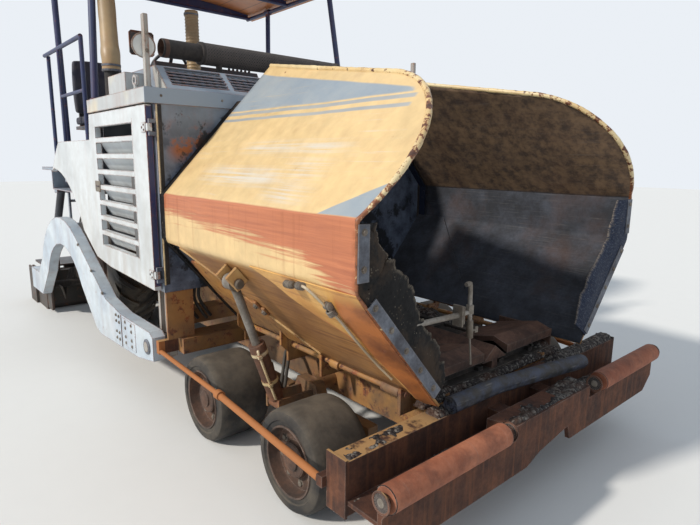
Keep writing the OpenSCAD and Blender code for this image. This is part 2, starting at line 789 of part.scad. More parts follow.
module screed() {
    color("darkslategray") {
        side_plate([[screed_back, 50], [screed_back + 30, 0], [screed_back + screed_depth, 0],
            [screed_back + screed_depth, 300], [screed_back + 40, 300], [screed_back, 260]],
            -screed_half, screed_half);
        box(screed_back + 50, screed_back + 160, -screed_half, screed_half, 300, 430);
        // guide tubes of the extensions with their end and middle plates
        both() {
            for (y = [0, screed_half - 20])
                box(screed_back + screed_depth, ext_back + 240, y, y + 20, 250, 425);
            for (d = [ext_back + 75, ext_back + 195])
                bar_y(d, 0, screed_half - 10, 330, 30);
            // ears of the lift cylinders
            for (y = [lift_y - 56, lift_y + 42])
                box(lift_eye[0] - 45, lift_eye[0] + 45, y, y + 14, 430, lift_eye[1] + 40);
            bar_y(lift_eye[0], lift_y - 50, lift_y + 50, lift_eye[1], 10);
        }
    }
}

module auger_plates() {
    color("darkslategray") box_pair(5400, screed_back, screed_half - 25, screed_half - 5, 30, 700);
}

module screed_walkway() {
    color("dimgray") {
        box(screed_back + 190, overall_len, -1100, 1100, 455, 475);
        box_pair(screed_back + 200, screed_back + 240, 700, 900, 300, 455);
    }
}

module screed_extension(right) {
    color("darkslategray") on_side(right) {
        difference() {
            union() {
                box(ext_back, ext_back + ext_depth, 25, 1160, 0, 200);
                for (y = [60, 300])
                    box(ext_back + 20, ext_back + 250, y, y + 70, 200, 390);
                box(ext_back, ext_back + ext_depth, 1160, 1178, 0, 420);
            }
            for (d = [ext_back + 75, ext_back + 195])
                bar_y(d, 0, 500, 330, 30 + run);
            for (d = [60, 220])
                for (z = [240, 380])
                    bar_y(ext_back + d, 1150, 1200, z, 9);
        }
    }
}

// Frame whose Z runs down from the top pin to the eye of a lift cylinder
module along_lift() {
    v = [lift_top[0] - lift_eye[0], 0, lift_eye[1] - lift_top[1]];
    translate([bk(lift_top[0]), lift_y, lift_top[1]]) rotate([0, 180 + atan2(-v[0], -v[2]), 0]) children();
}

module lift_barrels() {
    color("dimgray") both() difference() {
        union() {
            bar_y(lift_top[0], lift_y - 36, lift_y + 36, lift_top[1], 36);
            along_lift() cylinder(h = 720, r = lift_barrel_r);
        }
        bar_y(lift_top[0], lift_y - 40, lift_y + 40, lift_top[1], pin_r + run);
        along_lift() translate([0, 0, 90]) cylinder(h = 700, r = lift_rod_r + run);
    }
}

module lift_rods() {
    reach = norm(lift_eye - lift_top);
    color("silver") both() difference() {
        union() {
            along_lift() translate([0, 0, 400]) cylinder(h = reach - 400, r = lift_rod_r);
            bar_y(lift_eye[0], lift_y - 36, lift_y + 36, lift_eye[1], 38);
        }
        bar_y(lift_eye[0], lift_y - 40, lift_y + 40, lift_eye[1], 26);
    }
}

// Screw on its tube, right-hand on one side and left-hand on the other
module auger(right) {
    color("saddlebrown") on_side(right) difference() {
        union() {
            bar_y(auger_back, 70, screed_half - 50, auger_z, 40);
            translate([bk(auger_back), 80, auger_z]) flight(4, screed_half - 150, 30, auger_r, 12);
        }
        bar_y(auger_back, 0, 340, auger_z, 25 + run);
    }
}

// Helical ribbon along Y, turned about its own axis as it goes
module flight(turns, len, r0, r1, t) {
    n = 16 * turns;
    points = [for (i = [0 : n]) let (a = 360 * turns * i / n, y = (len - t) * i / n)
        each [for (c = [[r0, 0], [r1, 0], [r1, t], [r0, t]]) [c[0] * cos(a), y + c[1], c[0] * sin(a)]]];
    walls = [for (i = [0 : n - 1]) for (j = [0 : 3]) let (a = 4 * i + j, b = 4 * i + (j + 1) % 4)
        each [[a, b + 4, b], [a, a + 4, b + 4]]];
    end = 4 * n;
    polyhedron(points, concat([[0, 1, 2, 3]], walls, [[end + 3, end + 2, end + 1, end]]), 4);
}

chassis_frame();
walking_beams();
outriggers();
rear_axles();
front_crossbeam();
push_beam();
push_roller(true);  // push_roller_right
push_roller(false);  // push_roller_left
conveyor();
conveyor_hoods();
hopper_apron();
bulkhead();
engine_lid();
engine_block();
side_door(true);  // side_door_right
side_door(false);  // side_door_left
grille_box();
exhaust();
air_ducts();
work_lamps();
rear_tank();
platform();
console();
seat_frames();
seat_pads();
handrails();
canopy_frame();
canopy_roof();
tow_guides();
guide_rods();
knuckle(true, 0);  // knuckle_right_1
knuckle(true, 1);  // knuckle_right_2
knuckle(false, 0);  // knuckle_left_1
knuckle(false, 1);  // knuckle_left_2
front_wheel(true, 0);  // front_wheel_right_1
front_wheel(true, 1);  // front_wheel_right_2
front_wheel(false, 0);  // front_wheel_left_1
front_wheel(false, 1);  // front_wheel_left_2
rear_wheel(true);  // rear_wheel_right
rear_wheel(false);  // rear_wheel_left
hopper_wing(true);  // hopper_wing_right
hopper_wing(false);  // hopper_wing_left
hopper_corners();
wing_seal(true);  // wing_seal_right
wing_seal(false);  // wing_seal_left
wing_barrel(true);  // wing_barrel_right
wing_barrel(false);  // wing_barrel_left
wing_rod(true);  // wing_rod_right
wing_rod(false);  // wing_rod_left
tow_arms();
screed();
auger_plates();
screed_walkway();
screed_extension(true);  // screed_extension_right
screed_extension(false);  // screed_extension_left
lift_barrels();
lift_rods();
auger(true);  // auger_right
auger(false);  // auger_left
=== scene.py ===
"""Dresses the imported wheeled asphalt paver: worn paint, rust, rubber and the small pieces that the solids leave out."""

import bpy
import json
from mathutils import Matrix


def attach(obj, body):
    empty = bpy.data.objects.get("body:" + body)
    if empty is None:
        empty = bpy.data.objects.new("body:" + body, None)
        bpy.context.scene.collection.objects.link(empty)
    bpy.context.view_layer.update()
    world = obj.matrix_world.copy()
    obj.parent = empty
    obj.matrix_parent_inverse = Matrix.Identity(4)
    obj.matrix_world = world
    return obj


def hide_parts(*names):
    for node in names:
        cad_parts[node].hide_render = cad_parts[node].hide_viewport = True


bl_info = {
    "name": "Asphalt Paver Dressing", "version": (1, 0, 0), "blender": (4, 5, 0),
    "location": "3D View > Sidebar > Paver",
    "description": "Builds the visible pieces and finishes of a wheeled asphalt paver around its packed frame",
    "category": "Object",
}

import json
import math

import bmesh
import bpy
import numpy as np

from mathutils import Vector

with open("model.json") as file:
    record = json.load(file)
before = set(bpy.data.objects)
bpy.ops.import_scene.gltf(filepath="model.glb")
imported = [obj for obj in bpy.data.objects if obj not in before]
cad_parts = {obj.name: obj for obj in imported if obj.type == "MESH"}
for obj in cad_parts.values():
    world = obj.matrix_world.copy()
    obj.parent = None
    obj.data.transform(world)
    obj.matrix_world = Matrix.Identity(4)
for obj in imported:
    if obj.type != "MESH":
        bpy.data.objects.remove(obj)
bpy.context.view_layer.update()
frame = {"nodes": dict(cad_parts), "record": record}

SIDES = (("right", -1), ("left", 1))
NOSE_X = 3.15
ROLLER_STATION, ROLLER_HEIGHT = 0.055, 0.505
FRONT_AXLE, AXLE_STEP, FRONT_WHEEL_R = 0.825, 0.92, 0.265
REAR_AXLE, REAR_WHEEL_R = 4.495, 0.65
SIDE_OUT = 1.238


def at(station):
    """X of a station, which is a distance behind the push rollers' front."""
    return NOSE_X - station


def spots(*rows):
    """Points from rows of station, place across and height."""
    return [(at(station), y, z) for station, y, z in rows]


def srgb(red, green, blue):
    """Linear colour of a screen colour given in 0 to 255."""
    def lin(c):
        c /= 255
        return c / 12.92 if c <= 0.04045 else ((c + 0.055) / 1.055) ** 2.4
    return (lin(red), lin(green), lin(blue))


def ink(red, green, blue):
    """The same colour with a full alpha, for a colour socket."""
    return (*srgb(red, green, blue), 1)


# sizes and colours that a user would change


def colour(name, description, value):
    return bpy.props.FloatVectorProperty(name=name, description=description, subtype="COLOR", size=3, min=0, max=1,
        default=value)


def length(name, description, value, low, high):
    return bpy.props.FloatProperty(name=name, description=description, unit="LENGTH", min=low, max=high, default=value)


class PaverColours(bpy.types.PropertyGroup):
    """Paints and bare materials"""
    hopper_paint: colour("Hopper paint", "Cream yellow of the hopper wings", srgb(222, 192, 140))
    hopper_fade: colour("Wing marking", "Grey blue of the field and stripes on a wing", srgb(160, 166, 168))
    ochre: colour("Ochre", "Orange yellow of the lower wing plates and the frame", srgb(205, 150, 75))
    rust: colour("Rust", "Light rust", srgb(150, 84, 48))
    dark_rust: colour("Dark rust", "Old brown rust", srgb(84, 50, 36))
    body_paint: colour("Body paint", "Blue grey of the body", srgb(142, 154, 168))
    door_paint: colour("Door paint", "Pale grey of the doors", srgb(212, 218, 222))
    arm_paint: colour("Arm paint", "Pale blue grey of the levelling arms", srgb(206, 217, 226))
    cream: colour("Cream", "Cream of the lid and seals", srgb(222, 210, 178))
    navy: colour("Navy", "Dark blue of the posts and rails", srgb(38, 50, 92))
    terracotta: colour("Terracotta", "Orange brown of the push rollers", srgb(172, 108, 78))
    roof: colour("Roof", "Orange brown of the canopy", srgb(196, 122, 70))
    rubber: colour("Rubber", "Tyres, flaps and hoses", srgb(34, 34, 36))
    asphalt: colour("Asphalt", "Hardened asphalt crust", srgb(46, 42, 42))
    inner_steel: colour("Inner steel", "Dark blue grey of the hopper's inside", srgb(74, 78, 88))
    duct: colour("Duct", "Tan of the air ducts", srgb(168, 142, 104))
    seat: colour("Seat", "Seat covers", srgb(44, 46, 60))
    floor: colour("Floor", "Studio floor", srgb(226, 226, 224))


class PaverSizes(bpy.types.PropertyGroup):
    """Sizes of the dressing"""
    bead: length("Rim bead", "Radius of the rolled lip round a wing's free edge", 0.014, 0.008, 0.02)
    hose: length("Hose", "Radius of a hydraulic hose", 0.011, 0.007, 0.016)
    dent: length("Dents", "Depth of the dents in the wing plates", 0.004, 0.0, 0.008)
    crust: length("Crust", "Height of the asphalt crust on the beams", 0.035, 0.01, 0.05)
    lug: length("Lugs", "Height of the rear tyres' lugs", 0.03, 0.015, 0.04)
    stand_off: length("Second plate", "How far the wings' second plate stands off", 0.03, 0.018, 0.032)
    tread: length("Tread", "Width of a rear tyre's lug", 0.045, 0.03, 0.06)


def sizes():
    return bpy.context.scene.paver_sizes


def paints():
    return bpy.context.scene.paver_colours


# noise and grids as whole arrays


def smooth_noise(u, v, seed, octaves=4):
    """Lattice noise from -1 to 1: random values at whole numbers, joined by a smooth step, each octave twice as fine
    and half as strong as the one before."""
    rng = np.random.default_rng(seed)
    total, strength, weight = np.zeros(np.broadcast(u, v).shape), 1.0, 0.0
    for _ in range(octaves):
        table = rng.uniform(-1, 1, (64, 64))
        iu, iv = np.floor(u).astype(int), np.floor(v).astype(int)
        fu, fv = u - iu, v - iv
        fu, fv = fu * fu * (3 - 2 * fu), fv * fv * (3 - 2 * fv)
        a, b = table[iu % 64, iv % 64], table[(iu + 1) % 64, iv % 64]
        c, d = table[iu % 64, (iv + 1) % 64], table[(iu + 1) % 64, (iv + 1) % 64]
        total = total + strength * ((a * (1 - fu) + b * fu) * (1 - fv) + (c * (1 - fu) + d * fu) * fv)
        weight += strength
        u, v, strength = u * 2 + 7.3, v * 2 + 3.1, strength / 2
    return total / weight


def grid_quads(rows, columns, wrap_rows=False, wrap_columns=False):
    """Quads of a grid of rows times columns of points."""
    i = np.arange(rows if wrap_rows else rows - 1)[:, None]
    j = np.arange(columns if wrap_columns else columns - 1)[None, :]
    i2, j2 = (i + 1) % rows, (j + 1) % columns
    return np.stack(np.broadcast_arrays(i * columns + j, i * columns + j2, i2 * columns + j2, i2 * columns + j),
        -1).reshape(-1, 4)


class Shape:
    """Gathers points, faces, a finish index, shading and a UV place for one piece."""

    def __init__(self):
        self.points, self.faces, self.finish, self.smooth, self.uv, self.count = [], [], [], [], [], 0

    def add(self, points, faces, finish=0, smooth=True, uv=None):
        points = np.asarray(points, float).reshape(-1, 3)
        self.points.append(points)
        self.uv.append(np.zeros((len(points), 2)) if uv is None else np.asarray(uv, float).reshape(-1, 2))
        for f in faces if isinstance(faces, list) else [faces]:
            f = np.asarray(f, int)
            self.faces.append(f + self.count)
            self.finish.append(np.full(len(f), finish))
            self.smooth.append(np.full(len(f), smooth))
        self.count += len(points)
        return self

    def object(self, name, finishes, body, slot, replaces=(), mirrored=False, closed=True):
        """Makes the mesh object, rides it on its body and hides the imported parts it replaces. A closed shape has its
        doubles merged and its faces turned outwards."""
        points = np.concatenate(self.points)
        if mirrored:
            points = points * np.array([1, -1, 1])
        mesh = bpy.data.meshes.new(name)
        flat = [f[:, ::-1] if mirrored else f for f in self.faces]
        loops = np.concatenate([f.reshape(-1) for f in flat])
        totals = np.concatenate([np.full(len(f), f.shape[1]) for f in flat])
        mesh.vertices.add(len(points))
        mesh.vertices.foreach_set("co", points.reshape(-1))
        mesh.loops.add(len(loops))
        mesh.loops.foreach_set("vertex_index", loops)
        mesh.polygons.add(len(totals))
        mesh.polygons.foreach_set("loop_start", np.concatenate([[0], np.cumsum(totals)[:-1]]))
        mesh.polygons.foreach_set("loop_total", totals)
        mesh.polygons.foreach_set("material_index", np.concatenate(self.finish))
        mesh.polygons.foreach_set("use_smooth", np.concatenate(self.smooth))
        layer = mesh.uv_layers.new(name="place")
        layer.data.foreach_set("uv", np.concatenate(self.uv)[loops].reshape(-1))
        mesh.update(calc_edges=True)
        mesh.validate()
        if closed:
            work = bmesh.new()
            work.from_mesh(mesh)
            bmesh.ops.remove_doubles(work, verts=work.verts, dist=1e-5)
            bmesh.ops.dissolve_degenerate(work, edges=work.edges, dist=1e-6)
            bmesh.ops.recalc_face_normals(work, faces=work.faces)
            work.to_mesh(mesh)
            work.free()
        piece = bpy.data.objects.new(name, mesh)
        bpy.context.scene.collection.objects.link(piece)
        for finish in finishes:
            mesh.materials.append(material(finish))
        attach(piece, body)
        if replaces:
            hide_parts(*replaces)
        return piece


def bent(piece, angle=40):
    """Keeps edges sharper than this angle crisp on a smooth piece."""
    piece.data.set_sharp_from_angle(angle=math.radians(angle))
    return piece


# shapes as functions of two parameters


def lathe(shape, profile, centre, axis=1, turns=64, finish=0):
    """A profile of (along, radius) points carried round an axis: each point goes to centre + along on the axis and
    radius times cosine and sine across it."""
    profile = np.asarray(profile, float)
    angle = np.linspace(0, 2 * np.pi, turns, endpoint=False)[:, None]
    along, radius = profile[None, :, 0] + 0 * angle, profile[None, :, 1] + 0 * angle
    across = {0: (1, 2), 1: (2, 0), 2: (0, 1)}[axis]
    points = np.zeros((turns, len(profile), 3))
    points[..., axis] = along
    points[..., across[0]] = radius * np.cos(angle)
    points[..., across[1]] = radius * np.sin(angle)
    uv = np.stack([angle / (2 * np.pi) + 0 * along, along], -1)
    return shape.add(points + np.asarray(centre), grid_quads(turns, len(profile), wrap_rows=True), finish, True, uv)


def collar(shape, start, end, inner, outer, centre, axis=1, turns=48, finish=0):
    """A square ring: a closed profile from start to end and from the inner to the outer radius, carried round."""
    profile = [(start, inner), (start, outer), (end, outer), (end, inner), (start, inner)]
    return lathe(shape, profile, centre, axis, turns, finish)


def frames_along(path):
    """Unit tangents and two cross directions that turn as little as they can along a path."""
    tangent = np.gradient(path, axis=0)
    tangent /= np.linalg.norm(tangent, axis=1)[:, None]
    side = np.zeros_like(path)
    first = np.cross(tangent[0], [0, 0, 1.0] if abs(tangent[0][2]) < 0.9 else [0, 1.0, 0])
    side[0] = first / np.linalg.norm(first)
    for i in range(1, len(path)):
        s = side[i - 1] - tangent[i] * (side[i - 1] @ tangent[i])
        side[i] = s / np.linalg.norm(s)
    return tangent, side, np.cross(tangent, side)


def resampled(points, count):
    """Points evenly spaced along a smooth curve through the given ones."""
    p = np.asarray(points, float)
    p = np.concatenate([[2 * p[0] - p[1]], p, [2 * p[-1] - p[-2]]])
    t = np.linspace(0, 1, 12, endpoint=False)[:, None]
    rows = [0.5 * (2 * b + (c - a) * t + (2 * a - 5 * b + 4 * c - d) * t ** 2 + (3 * b - a - 3 * c + d) * t ** 3)
        for a, b, c, d in zip(p[:-3], p[1:-2], p[2:-1], p[3:])]
    curve = np.concatenate(rows + [p[-2:-1]])
    run = np.concatenate([[0], np.cumsum(np.linalg.norm(np.diff(curve, axis=0), axis=1))])
    want = np.linspace(0, run[-1], count)
    return np.stack([np.interp(want, run, curve[:, k]) for k in range(3)], -1)


def pipe(shape, points, radius, finish=0, sides=12, count=None, ripple=None, straight=False):
    """A circle carried along a path: path + radius times (cosine of the angle on one cross direction and sine on the
    other). ripple gives a factor on the radius by distance along."""
    path = np.asarray(points, float) if straight else resampled(points, count or 8 * len(points))
    _, side, other = frames_along(path)
    run = np.concatenate([[0], np.cumsum(np.linalg.norm(np.diff(path, axis=0), axis=1))])
    r = radius * (ripple(run) if ripple else np.ones(len(run)))
    path, side, other, run = (np.concatenate([a[:1], a, a[-1:]]) for a in (path, side, other, run))
    r = np.concatenate([[0], r, [0]])
    angle = np.linspace(0, 2 * np.pi, sides, endpoint=False)[None, :, None]
    ring = path[:, None] + r[:, None, None] * (np.cos(angle) * side[:, None] + np.sin(angle) * other[:, None])
    uv = np.stack(np.broadcast_arrays(run[:, None], angle[..., 0] / (2 * np.pi)), -1)
    return shape.add(ring, grid_quads(len(path), sides, wrap_columns=True), finish, True, uv)


def slab(shape, corner, size, finish=0, turn=None, origin=(0, 0, 0), soft=0.003):
    """A box with cut edges: its eight corners each give three points, moved in by the soft edge."""
    lo, size = np.asarray(corner, float), np.asarray(size, float)
    points, index = [], {}
    cube = np.array(np.meshgrid([0, 1], [0, 1], [0, 1], indexing="ij")).reshape(3, -1).T
    for s in cube:
        for k in range(3):
            p = lo + s * size + (1 - 2 * s) * soft
            p[k] = (lo + s * size)[k]
            index[(tuple(s), k)] = len(points)
            points.append(p)
    corners = [(0, 0), (1, 0), (1, 1), (0, 1)]
    quads, tris = [], []
    for k in range(3):
        a, b = (k + 1) % 3, (k + 2) % 3
        for side in (0, 1):
            loop = []
            for u, v in corners:
                s = [0, 0, 0]
                s[k], s[a], s[b] = side, u, v
                loop.append(index[(tuple(s), k)])
            quads.append(loop if side else loop[::-1])
        for u, v in corners:
            s0, s1 = [0, 0, 0], [0, 0, 0]
            s0[a], s0[b], s1[a], s1[b] = u, v, u, v
            s1[k] = 1
            loop = [index[(tuple(s0), a)], index[(tuple(s0), b)], index[(tuple(s1), b)], index[(tuple(s1), a)]]
            quads.append(loop if (u == v) else loop[::-1])
    for s in cube:
        loop = [index[(tuple(s), k)] for k in range(3)]
        tris.append(loop if s.sum() % 2 else loop[::-1])
    points = np.array(points)
    if turn is not None:
        points = points @ np.asarray(turn).T
    return shape.add(points + np.asarray(origin), [np.array(quads), np.array(tris)], finish, False)


def shell(shape, outer, inner, finish=0, uv=None):
    """Closed piece from two grids of the same size: the first is its outside, the second its inside, and walls join
    their borders."""
    rows, columns = outer.shape[:2]
    n = rows * columns
    quads = grid_quads(rows, columns)
    border = np.concatenate([np.arange(columns), np.arange(1, rows) * columns + columns - 1,
        n - 2 - np.arange(columns - 1), (rows - 2 - np.arange(rows - 2)) * columns])
    after = np.roll(border, -1)
    wall = np.stack([border, after, after + n, border + n], -1)
    points = np.concatenate([outer.reshape(-1, 3), inner.reshape(-1, 3)])
    uv = None if uv is None else np.concatenate([uv.reshape(-1, 2)] * 2)
    return shape.add(points, [quads, quads[:, ::-1] + n, wall], finish, True, uv)


def turned(axis, degrees):
    """Rotation matrix about one of the three axes."""
    c, s = math.cos(math.radians(degrees)), math.sin(math.radians(degrees))
    m = np.eye(3)
    a, b = (axis + 1) % 3, (axis + 2) % 3
    m[a, a], m[a, b], m[b, a], m[b, b] = c, -s, s, c
    return m


def bolts(shape, places, direction, radius, finish=0, height=0.6, washer=1.45):
    """Hexagon heads on round washers: a profile of radius and height carried round six or twelve corners, repeated at
    every place as one array."""
    d = np.asarray(direction, float) / np.linalg.norm(direction)
    side = np.cross(d, [0, 0, 1.0] if abs(d[2]) < 0.9 else [1.0, 0, 0])
    side /= np.linalg.norm(side)
    other = np.cross(d, side)
    for corners, profile in ((12, [(0, 0), (washer, 0), (washer, 0.15), (0, 0.15)]),
            (6, [(1, 0.15), (1, height), (0.82, height + 0.14), (0, height + 0.14)])):
        angle = np.linspace(0, 2 * np.pi, corners, endpoint=False)[:, None, None]
        prof = np.asarray(profile, float)
        ring = radius * (prof[None, :, :1] * (np.cos(angle) * side + np.sin(angle) * other) + prof[None, :, 1:] * d)
        faces = grid_quads(corners, len(prof), wrap_rows=True)
        if np.cross(side, other) @ d > 0:
            faces = faces[:, ::-1]
        ring = ring.reshape(-1, 3)
        places = np.asarray(places, float).reshape(-1, 3)
        points = places[:, None] + ring[None]
        offset = (np.arange(len(places)) * len(ring))[:, None, None]
        shape.add(points, (faces[None] + offset).reshape(-1, 4), finish, False)
    return shape


# node groups: each gives a colour, a roughness and a height


def put(tree, kind, inputs=None, **settings):
    """Adds one node, sets its properties, and links or fills its inputs."""
    node = tree.nodes.new("ShaderNode" + kind)
    for key, value in settings.items():
        setattr(node, key, value)
    for key, value in (inputs or {}).items():
        if isinstance(value, Wire):
            tree.links.new(value.socket, node.inputs[key])
        else:
            node.inputs[key].default_value = value
    return node


class Wire:
    """One output of a node. Sums, differences and products of wires add math nodes to the same tree."""

    def __init__(self, node, key=0):
        self.socket, self.tree = node.outputs[key], node.id_data

    def __add__(self, other):
        return calc("ADD", self, other)

    def __radd__(self, other):
        return calc("ADD", other, self)

    def __sub__(self, other):
        return calc("SUBTRACT", self, other)

    def __rsub__(self, other):
        return calc("SUBTRACT", other, self)

    def __mul__(self, other):
        return calc("MULTIPLY", self, other)

    def __abs__(self):
        return calc("ABSOLUTE", self)


def added(kind, inputs, key=0, **settings):
    """One output of a new node in the tree of the first wire among its inputs."""
    tree = next(value.tree for value in inputs.values() if isinstance(value, Wire))
    return Wire(put(tree, kind, inputs, **settings), key)


def calc(operation, a, b=0.0, clamp=False):
    return added("Math", {0: a, 1: b}, operation=operation, use_clamp=clamp)


def ramp(value, low, high, start=0.0, end=1.0):
    """Straight rise from start at low to end at high, held beyond them."""
    return added("MapRange", {"Value": value, "From Min": low, "From Max": high, "To Min": start, "To Max": end},
        "Result")


def between(value, low, high, soft=0.006):
    """Mask that is 1 between two values, with soft ends."""
    return ramp(value, low - soft, low + soft) * ramp(value, high + soft, high - soft)


def blend(factor, a, b, mode="MIX"):
    return added("Mix", {0: factor, 6: a, 7: b}, 2, data_type="RGBA", blend_type=mode)


def noise(vector, scale, detail=4.0, rough=0.55):
    return added("TexNoise", {"Vector": vector, "Scale": scale, "Detail": detail, "Roughness": rough})


def stretched(vector, factors):
    return added("VectorMath", {0: vector, 1: factors}, operation="MULTIPLY")


def parts(vector):
    """The X, Y and Z of a vector."""
    node = put(vector.tree, "SeparateXYZ", {0: vector})
    return [Wire(node, key) for key in "XYZ"]


def place(tree):
    return Wire(put(tree, "TexCoord"), "Object")


def normal(tree):
    return Wire(put(tree, "NewGeometry"), "Normal")


def own_place(tree):
    """The piece's own UV place."""
    return Wire(put(tree, "UVMap", uv_map="place"))


def worn_edges(tree, radius):
    """Mask that is 1 on outside and inside corners: how far the rounded normal turns from the flat one."""
    soft = Wire(put(tree, "Bevel", {"Radius": radius}, samples=3))
    dot = added("VectorMath", {0: soft, 1: normal(tree)}, "Value", operation="DOT_PRODUCT")
    return ramp(dot, 0.97, 0.72)


OUTPUTS = {"Color": "NodeSocketColor", "Roughness": "NodeSocketFloat", "Height": "NodeSocketFloat"}


def group(name, inputs, build):
    """A node group with named inputs, and a function that makes the wires of its three outputs from them."""
    tree = bpy.data.node_groups.new(name, "ShaderNodeTree")
    for label, value in inputs.items():
        number = isinstance(value, float)
        socket = tree.interface.new_socket(label, in_out="INPUT",
            socket_type="NodeSocketFloat" if number else "NodeSocketColor")
        socket.default_value = value if number else (*value, 1)
    for label, kind in OUTPUTS.items():
        tree.interface.new_socket(label, in_out="OUTPUT", socket_type=kind)
    start, end = tree.nodes.new("NodeGroupInput"), tree.nodes.new("NodeGroupOutput")
    given = {label: Wire(start, label) for label in inputs}
    for label, wire in zip(OUTPUTS, build(tree, given)):
        tree.links.new(wire.socket, end.inputs[label])
    return tree


def worn_paint(tree, given):
    """Paint that fades in broad patches, chips to rust on edges and in spots, and carries runs of rust and grime."""
    co = place(tree)
    base = blend(ramp(noise(co, 1.7, 3.0), 0.44, 0.6), given["Paint"], given["Faded"])
    mottle = noise(co, 13.0, 6.0, 0.6)
    base = blend(0.8, base, Wire(put(tree, "CombineColor", {0: ramp(mottle, 0.25, 0.75, 0.8, 1.06),
        1: ramp(mottle, 0.25, 0.75, 0.78, 1.05), 2: ramp(mottle, 0.25, 0.75, 0.75, 1.04)})), "MULTIPLY")
    runs = noise(stretched(co, (11.0, 11.0, 0.8)), 1.0, 5.0, 0.6)
    runs = ramp(runs, 0.5, 0.72) * given["Streaks"]
    base = blend(runs, base, blend(0.55, base, given["Rust"]))
    edge = worn_edges(tree, 0.012) * given["Edges"]
    flakes = noise(co, 16.0, 9.0, 0.72) + edge * 0.3
    limit = ramp(given["Chips"], 0.0, 1.0, 0.76, 0.44)
    halo = ramp(flakes - limit, -0.06, 0.0, 0.0, 0.65)
    chip = ramp(flakes - limit, 0.0, 0.012)
    bare = blend(ramp(noise(co, 38.0, 6.0), 0.4, 0.62), given["Rust"], given["Under"])
    base = blend(halo, base, blend(0.5, base, given["Rust"]))
    base = blend(chip, base, bare)
    height = parts(co)[2]
    dirt = calc("ADD", ramp(height, 1.3, 0.0, 0.0, 0.62), ramp(noise(co, 5.0, 7.0, 0.65), 0.4, 0.75, -0.18, 0.45),
        True)
    dirt = dirt * given["Grime"]
    base = blend(dirt, base, (0.085, 0.068, 0.052, 1))
    rough = calc("ADD", ramp(mottle, 0.2, 0.8, 0.34, 0.5), calc("MAXIMUM", chip, dirt) * 0.4, True)
    tall = mottle * 0.12 - chip * 0.35
    return base, rough, tall


def rusty(tree, given):
    """Bare steel under rust: light and dark rust in clouds with pits, worn bright on its edges."""
    co = place(tree)
    cloud = noise(co, 4.5, 8.0, 0.68)
    fine = noise(co, 55.0, 7.0, 0.7)
    base = blend(ramp(cloud, 0.38, 0.62), given["Dark"], given["Light"])
    base = blend(ramp(fine, 0.35, 0.75, 0.0, 0.55), base, given["Dark"])
    rub = worn_edges(tree, 0.008) * ramp(cloud, 0.3, 0.6)
    base = blend(rub * given["Bright"], base, (0.32, 0.28, 0.25, 1))
    base = blend(ramp(noise(co, 7.0, 6.0, 0.7), 0.46, 0.62) * given["Crust"], base, (0.022, 0.02, 0.02, 1))
    return (base, ramp(fine, 0.2, 0.8, 0.62, 0.92), fine * 0.5 + cloud)


def rubbery(tree, given):
    """Black rubber with pale dust in clouds, more of it on faces that look up, and scuffs."""
    co = place(tree)
    cloud = noise(co, 6.0, 7.0, 0.65)
    fine = noise(co, 70.0, 5.0, 0.7)
    up = parts(normal(tree))[2]
    dust = calc("ADD", ramp(up, -0.3, 1.0, 0.15, 0.75), ramp(cloud, 0.4, 0.7, -0.2, 0.5), True) * given["Dusty"]
    base = blend(ramp(fine, 0.3, 0.8, 0.0, 0.35), given["Rubber"], (0.05, 0.048, 0.046, 1))
    base = blend(dust, base, given["Dust"])
    return (base, ramp(dust, 0.0, 0.7, 0.55, 0.95), fine * 0.4 + cloud)


def crusty(tree, given):
    """Hardened asphalt: rounded stones in black binder, some worn pale or rusty."""
    co = place(tree)
    cell = put(tree, "TexVoronoi", {"Vector": co, "Scale": 75.0})
    stone = added("SeparateColor", {0: Wire(cell, "Color")})
    cloud = noise(co, 5.0, 6.0, 0.6)
    pale = ramp(stone, 0.55, 0.95) * given["Stones"]
    base = blend(pale, given["Binder"], given["Stone"])
    base = blend(ramp(cloud, 0.5, 0.72, 0.0, 0.6), base, given["Stain"])
    tall = cloud - Wire(cell, "Distance") * 0.9
    return (base, ramp(stone, 0.0, 1.0, 0.55, 0.9), tall)


def cloth_like(tree, given):
    """Woven cover: fine waves across the three object axes, with rubbed and dusty patches."""
    co = place(tree)
    waves = [Wire(put(tree, "TexWave", {"Vector": co, "Scale": 170.0, "Distortion": 0.6}, bands_direction=axis), 1)
        for axis in ("X", "Y", "Z")]
    weave = (waves[0] + waves[1] + waves[2]) * 0.33
    cloud = noise(co, 8.0, 6.0, 0.65)
    base = blend(ramp(weave, 0.2, 0.8, 0.0, 0.5), given["Cover"], given["Thread"])
    base = blend(ramp(cloud, 0.45, 0.75, 0.0, 0.45), base, (0.16, 0.14, 0.12, 1))
    return (base, ramp(cloud, 0.3, 0.7, 0.75, 0.95), weave)


GROUPS = {}


def make_groups():
    """Builds each node group once."""
    p = paints()
    light, dark = tuple(p.rust), tuple(p.dark_rust)
    tables = {
        "paint": (worn_paint, "Worn paint", {"Paint": tuple(p.body_paint), "Faded": tuple(p.body_paint),
            "Rust": light, "Under": dark, "Chips": 0.3, "Edges": 1.0, "Streaks": 0.3, "Grime": 0.4}),
        "rust": (rusty, "Rusty steel", {"Light": light, "Dark": dark, "Bright": 0.5, "Crust": 0.0}),
        "rubber": (rubbery, "Dusty rubber", {"Rubber": tuple(p.rubber), "Dust": srgb(128, 118, 104), "Dusty": 0.5}),
        "crust": (crusty, "Asphalt crust", {"Binder": tuple(p.asphalt), "Stone": srgb(150, 144, 136),
            "Stain": srgb(96, 66, 48), "Stones": 0.6}),
        "cloth": (cloth_like, "Woven cover", {"Cover": tuple(p.seat), "Thread": srgb(70, 72, 88)}),
    }
    for key, (build, name, inputs) in tables.items():
        GROUPS[key] = group(name, inputs, build)


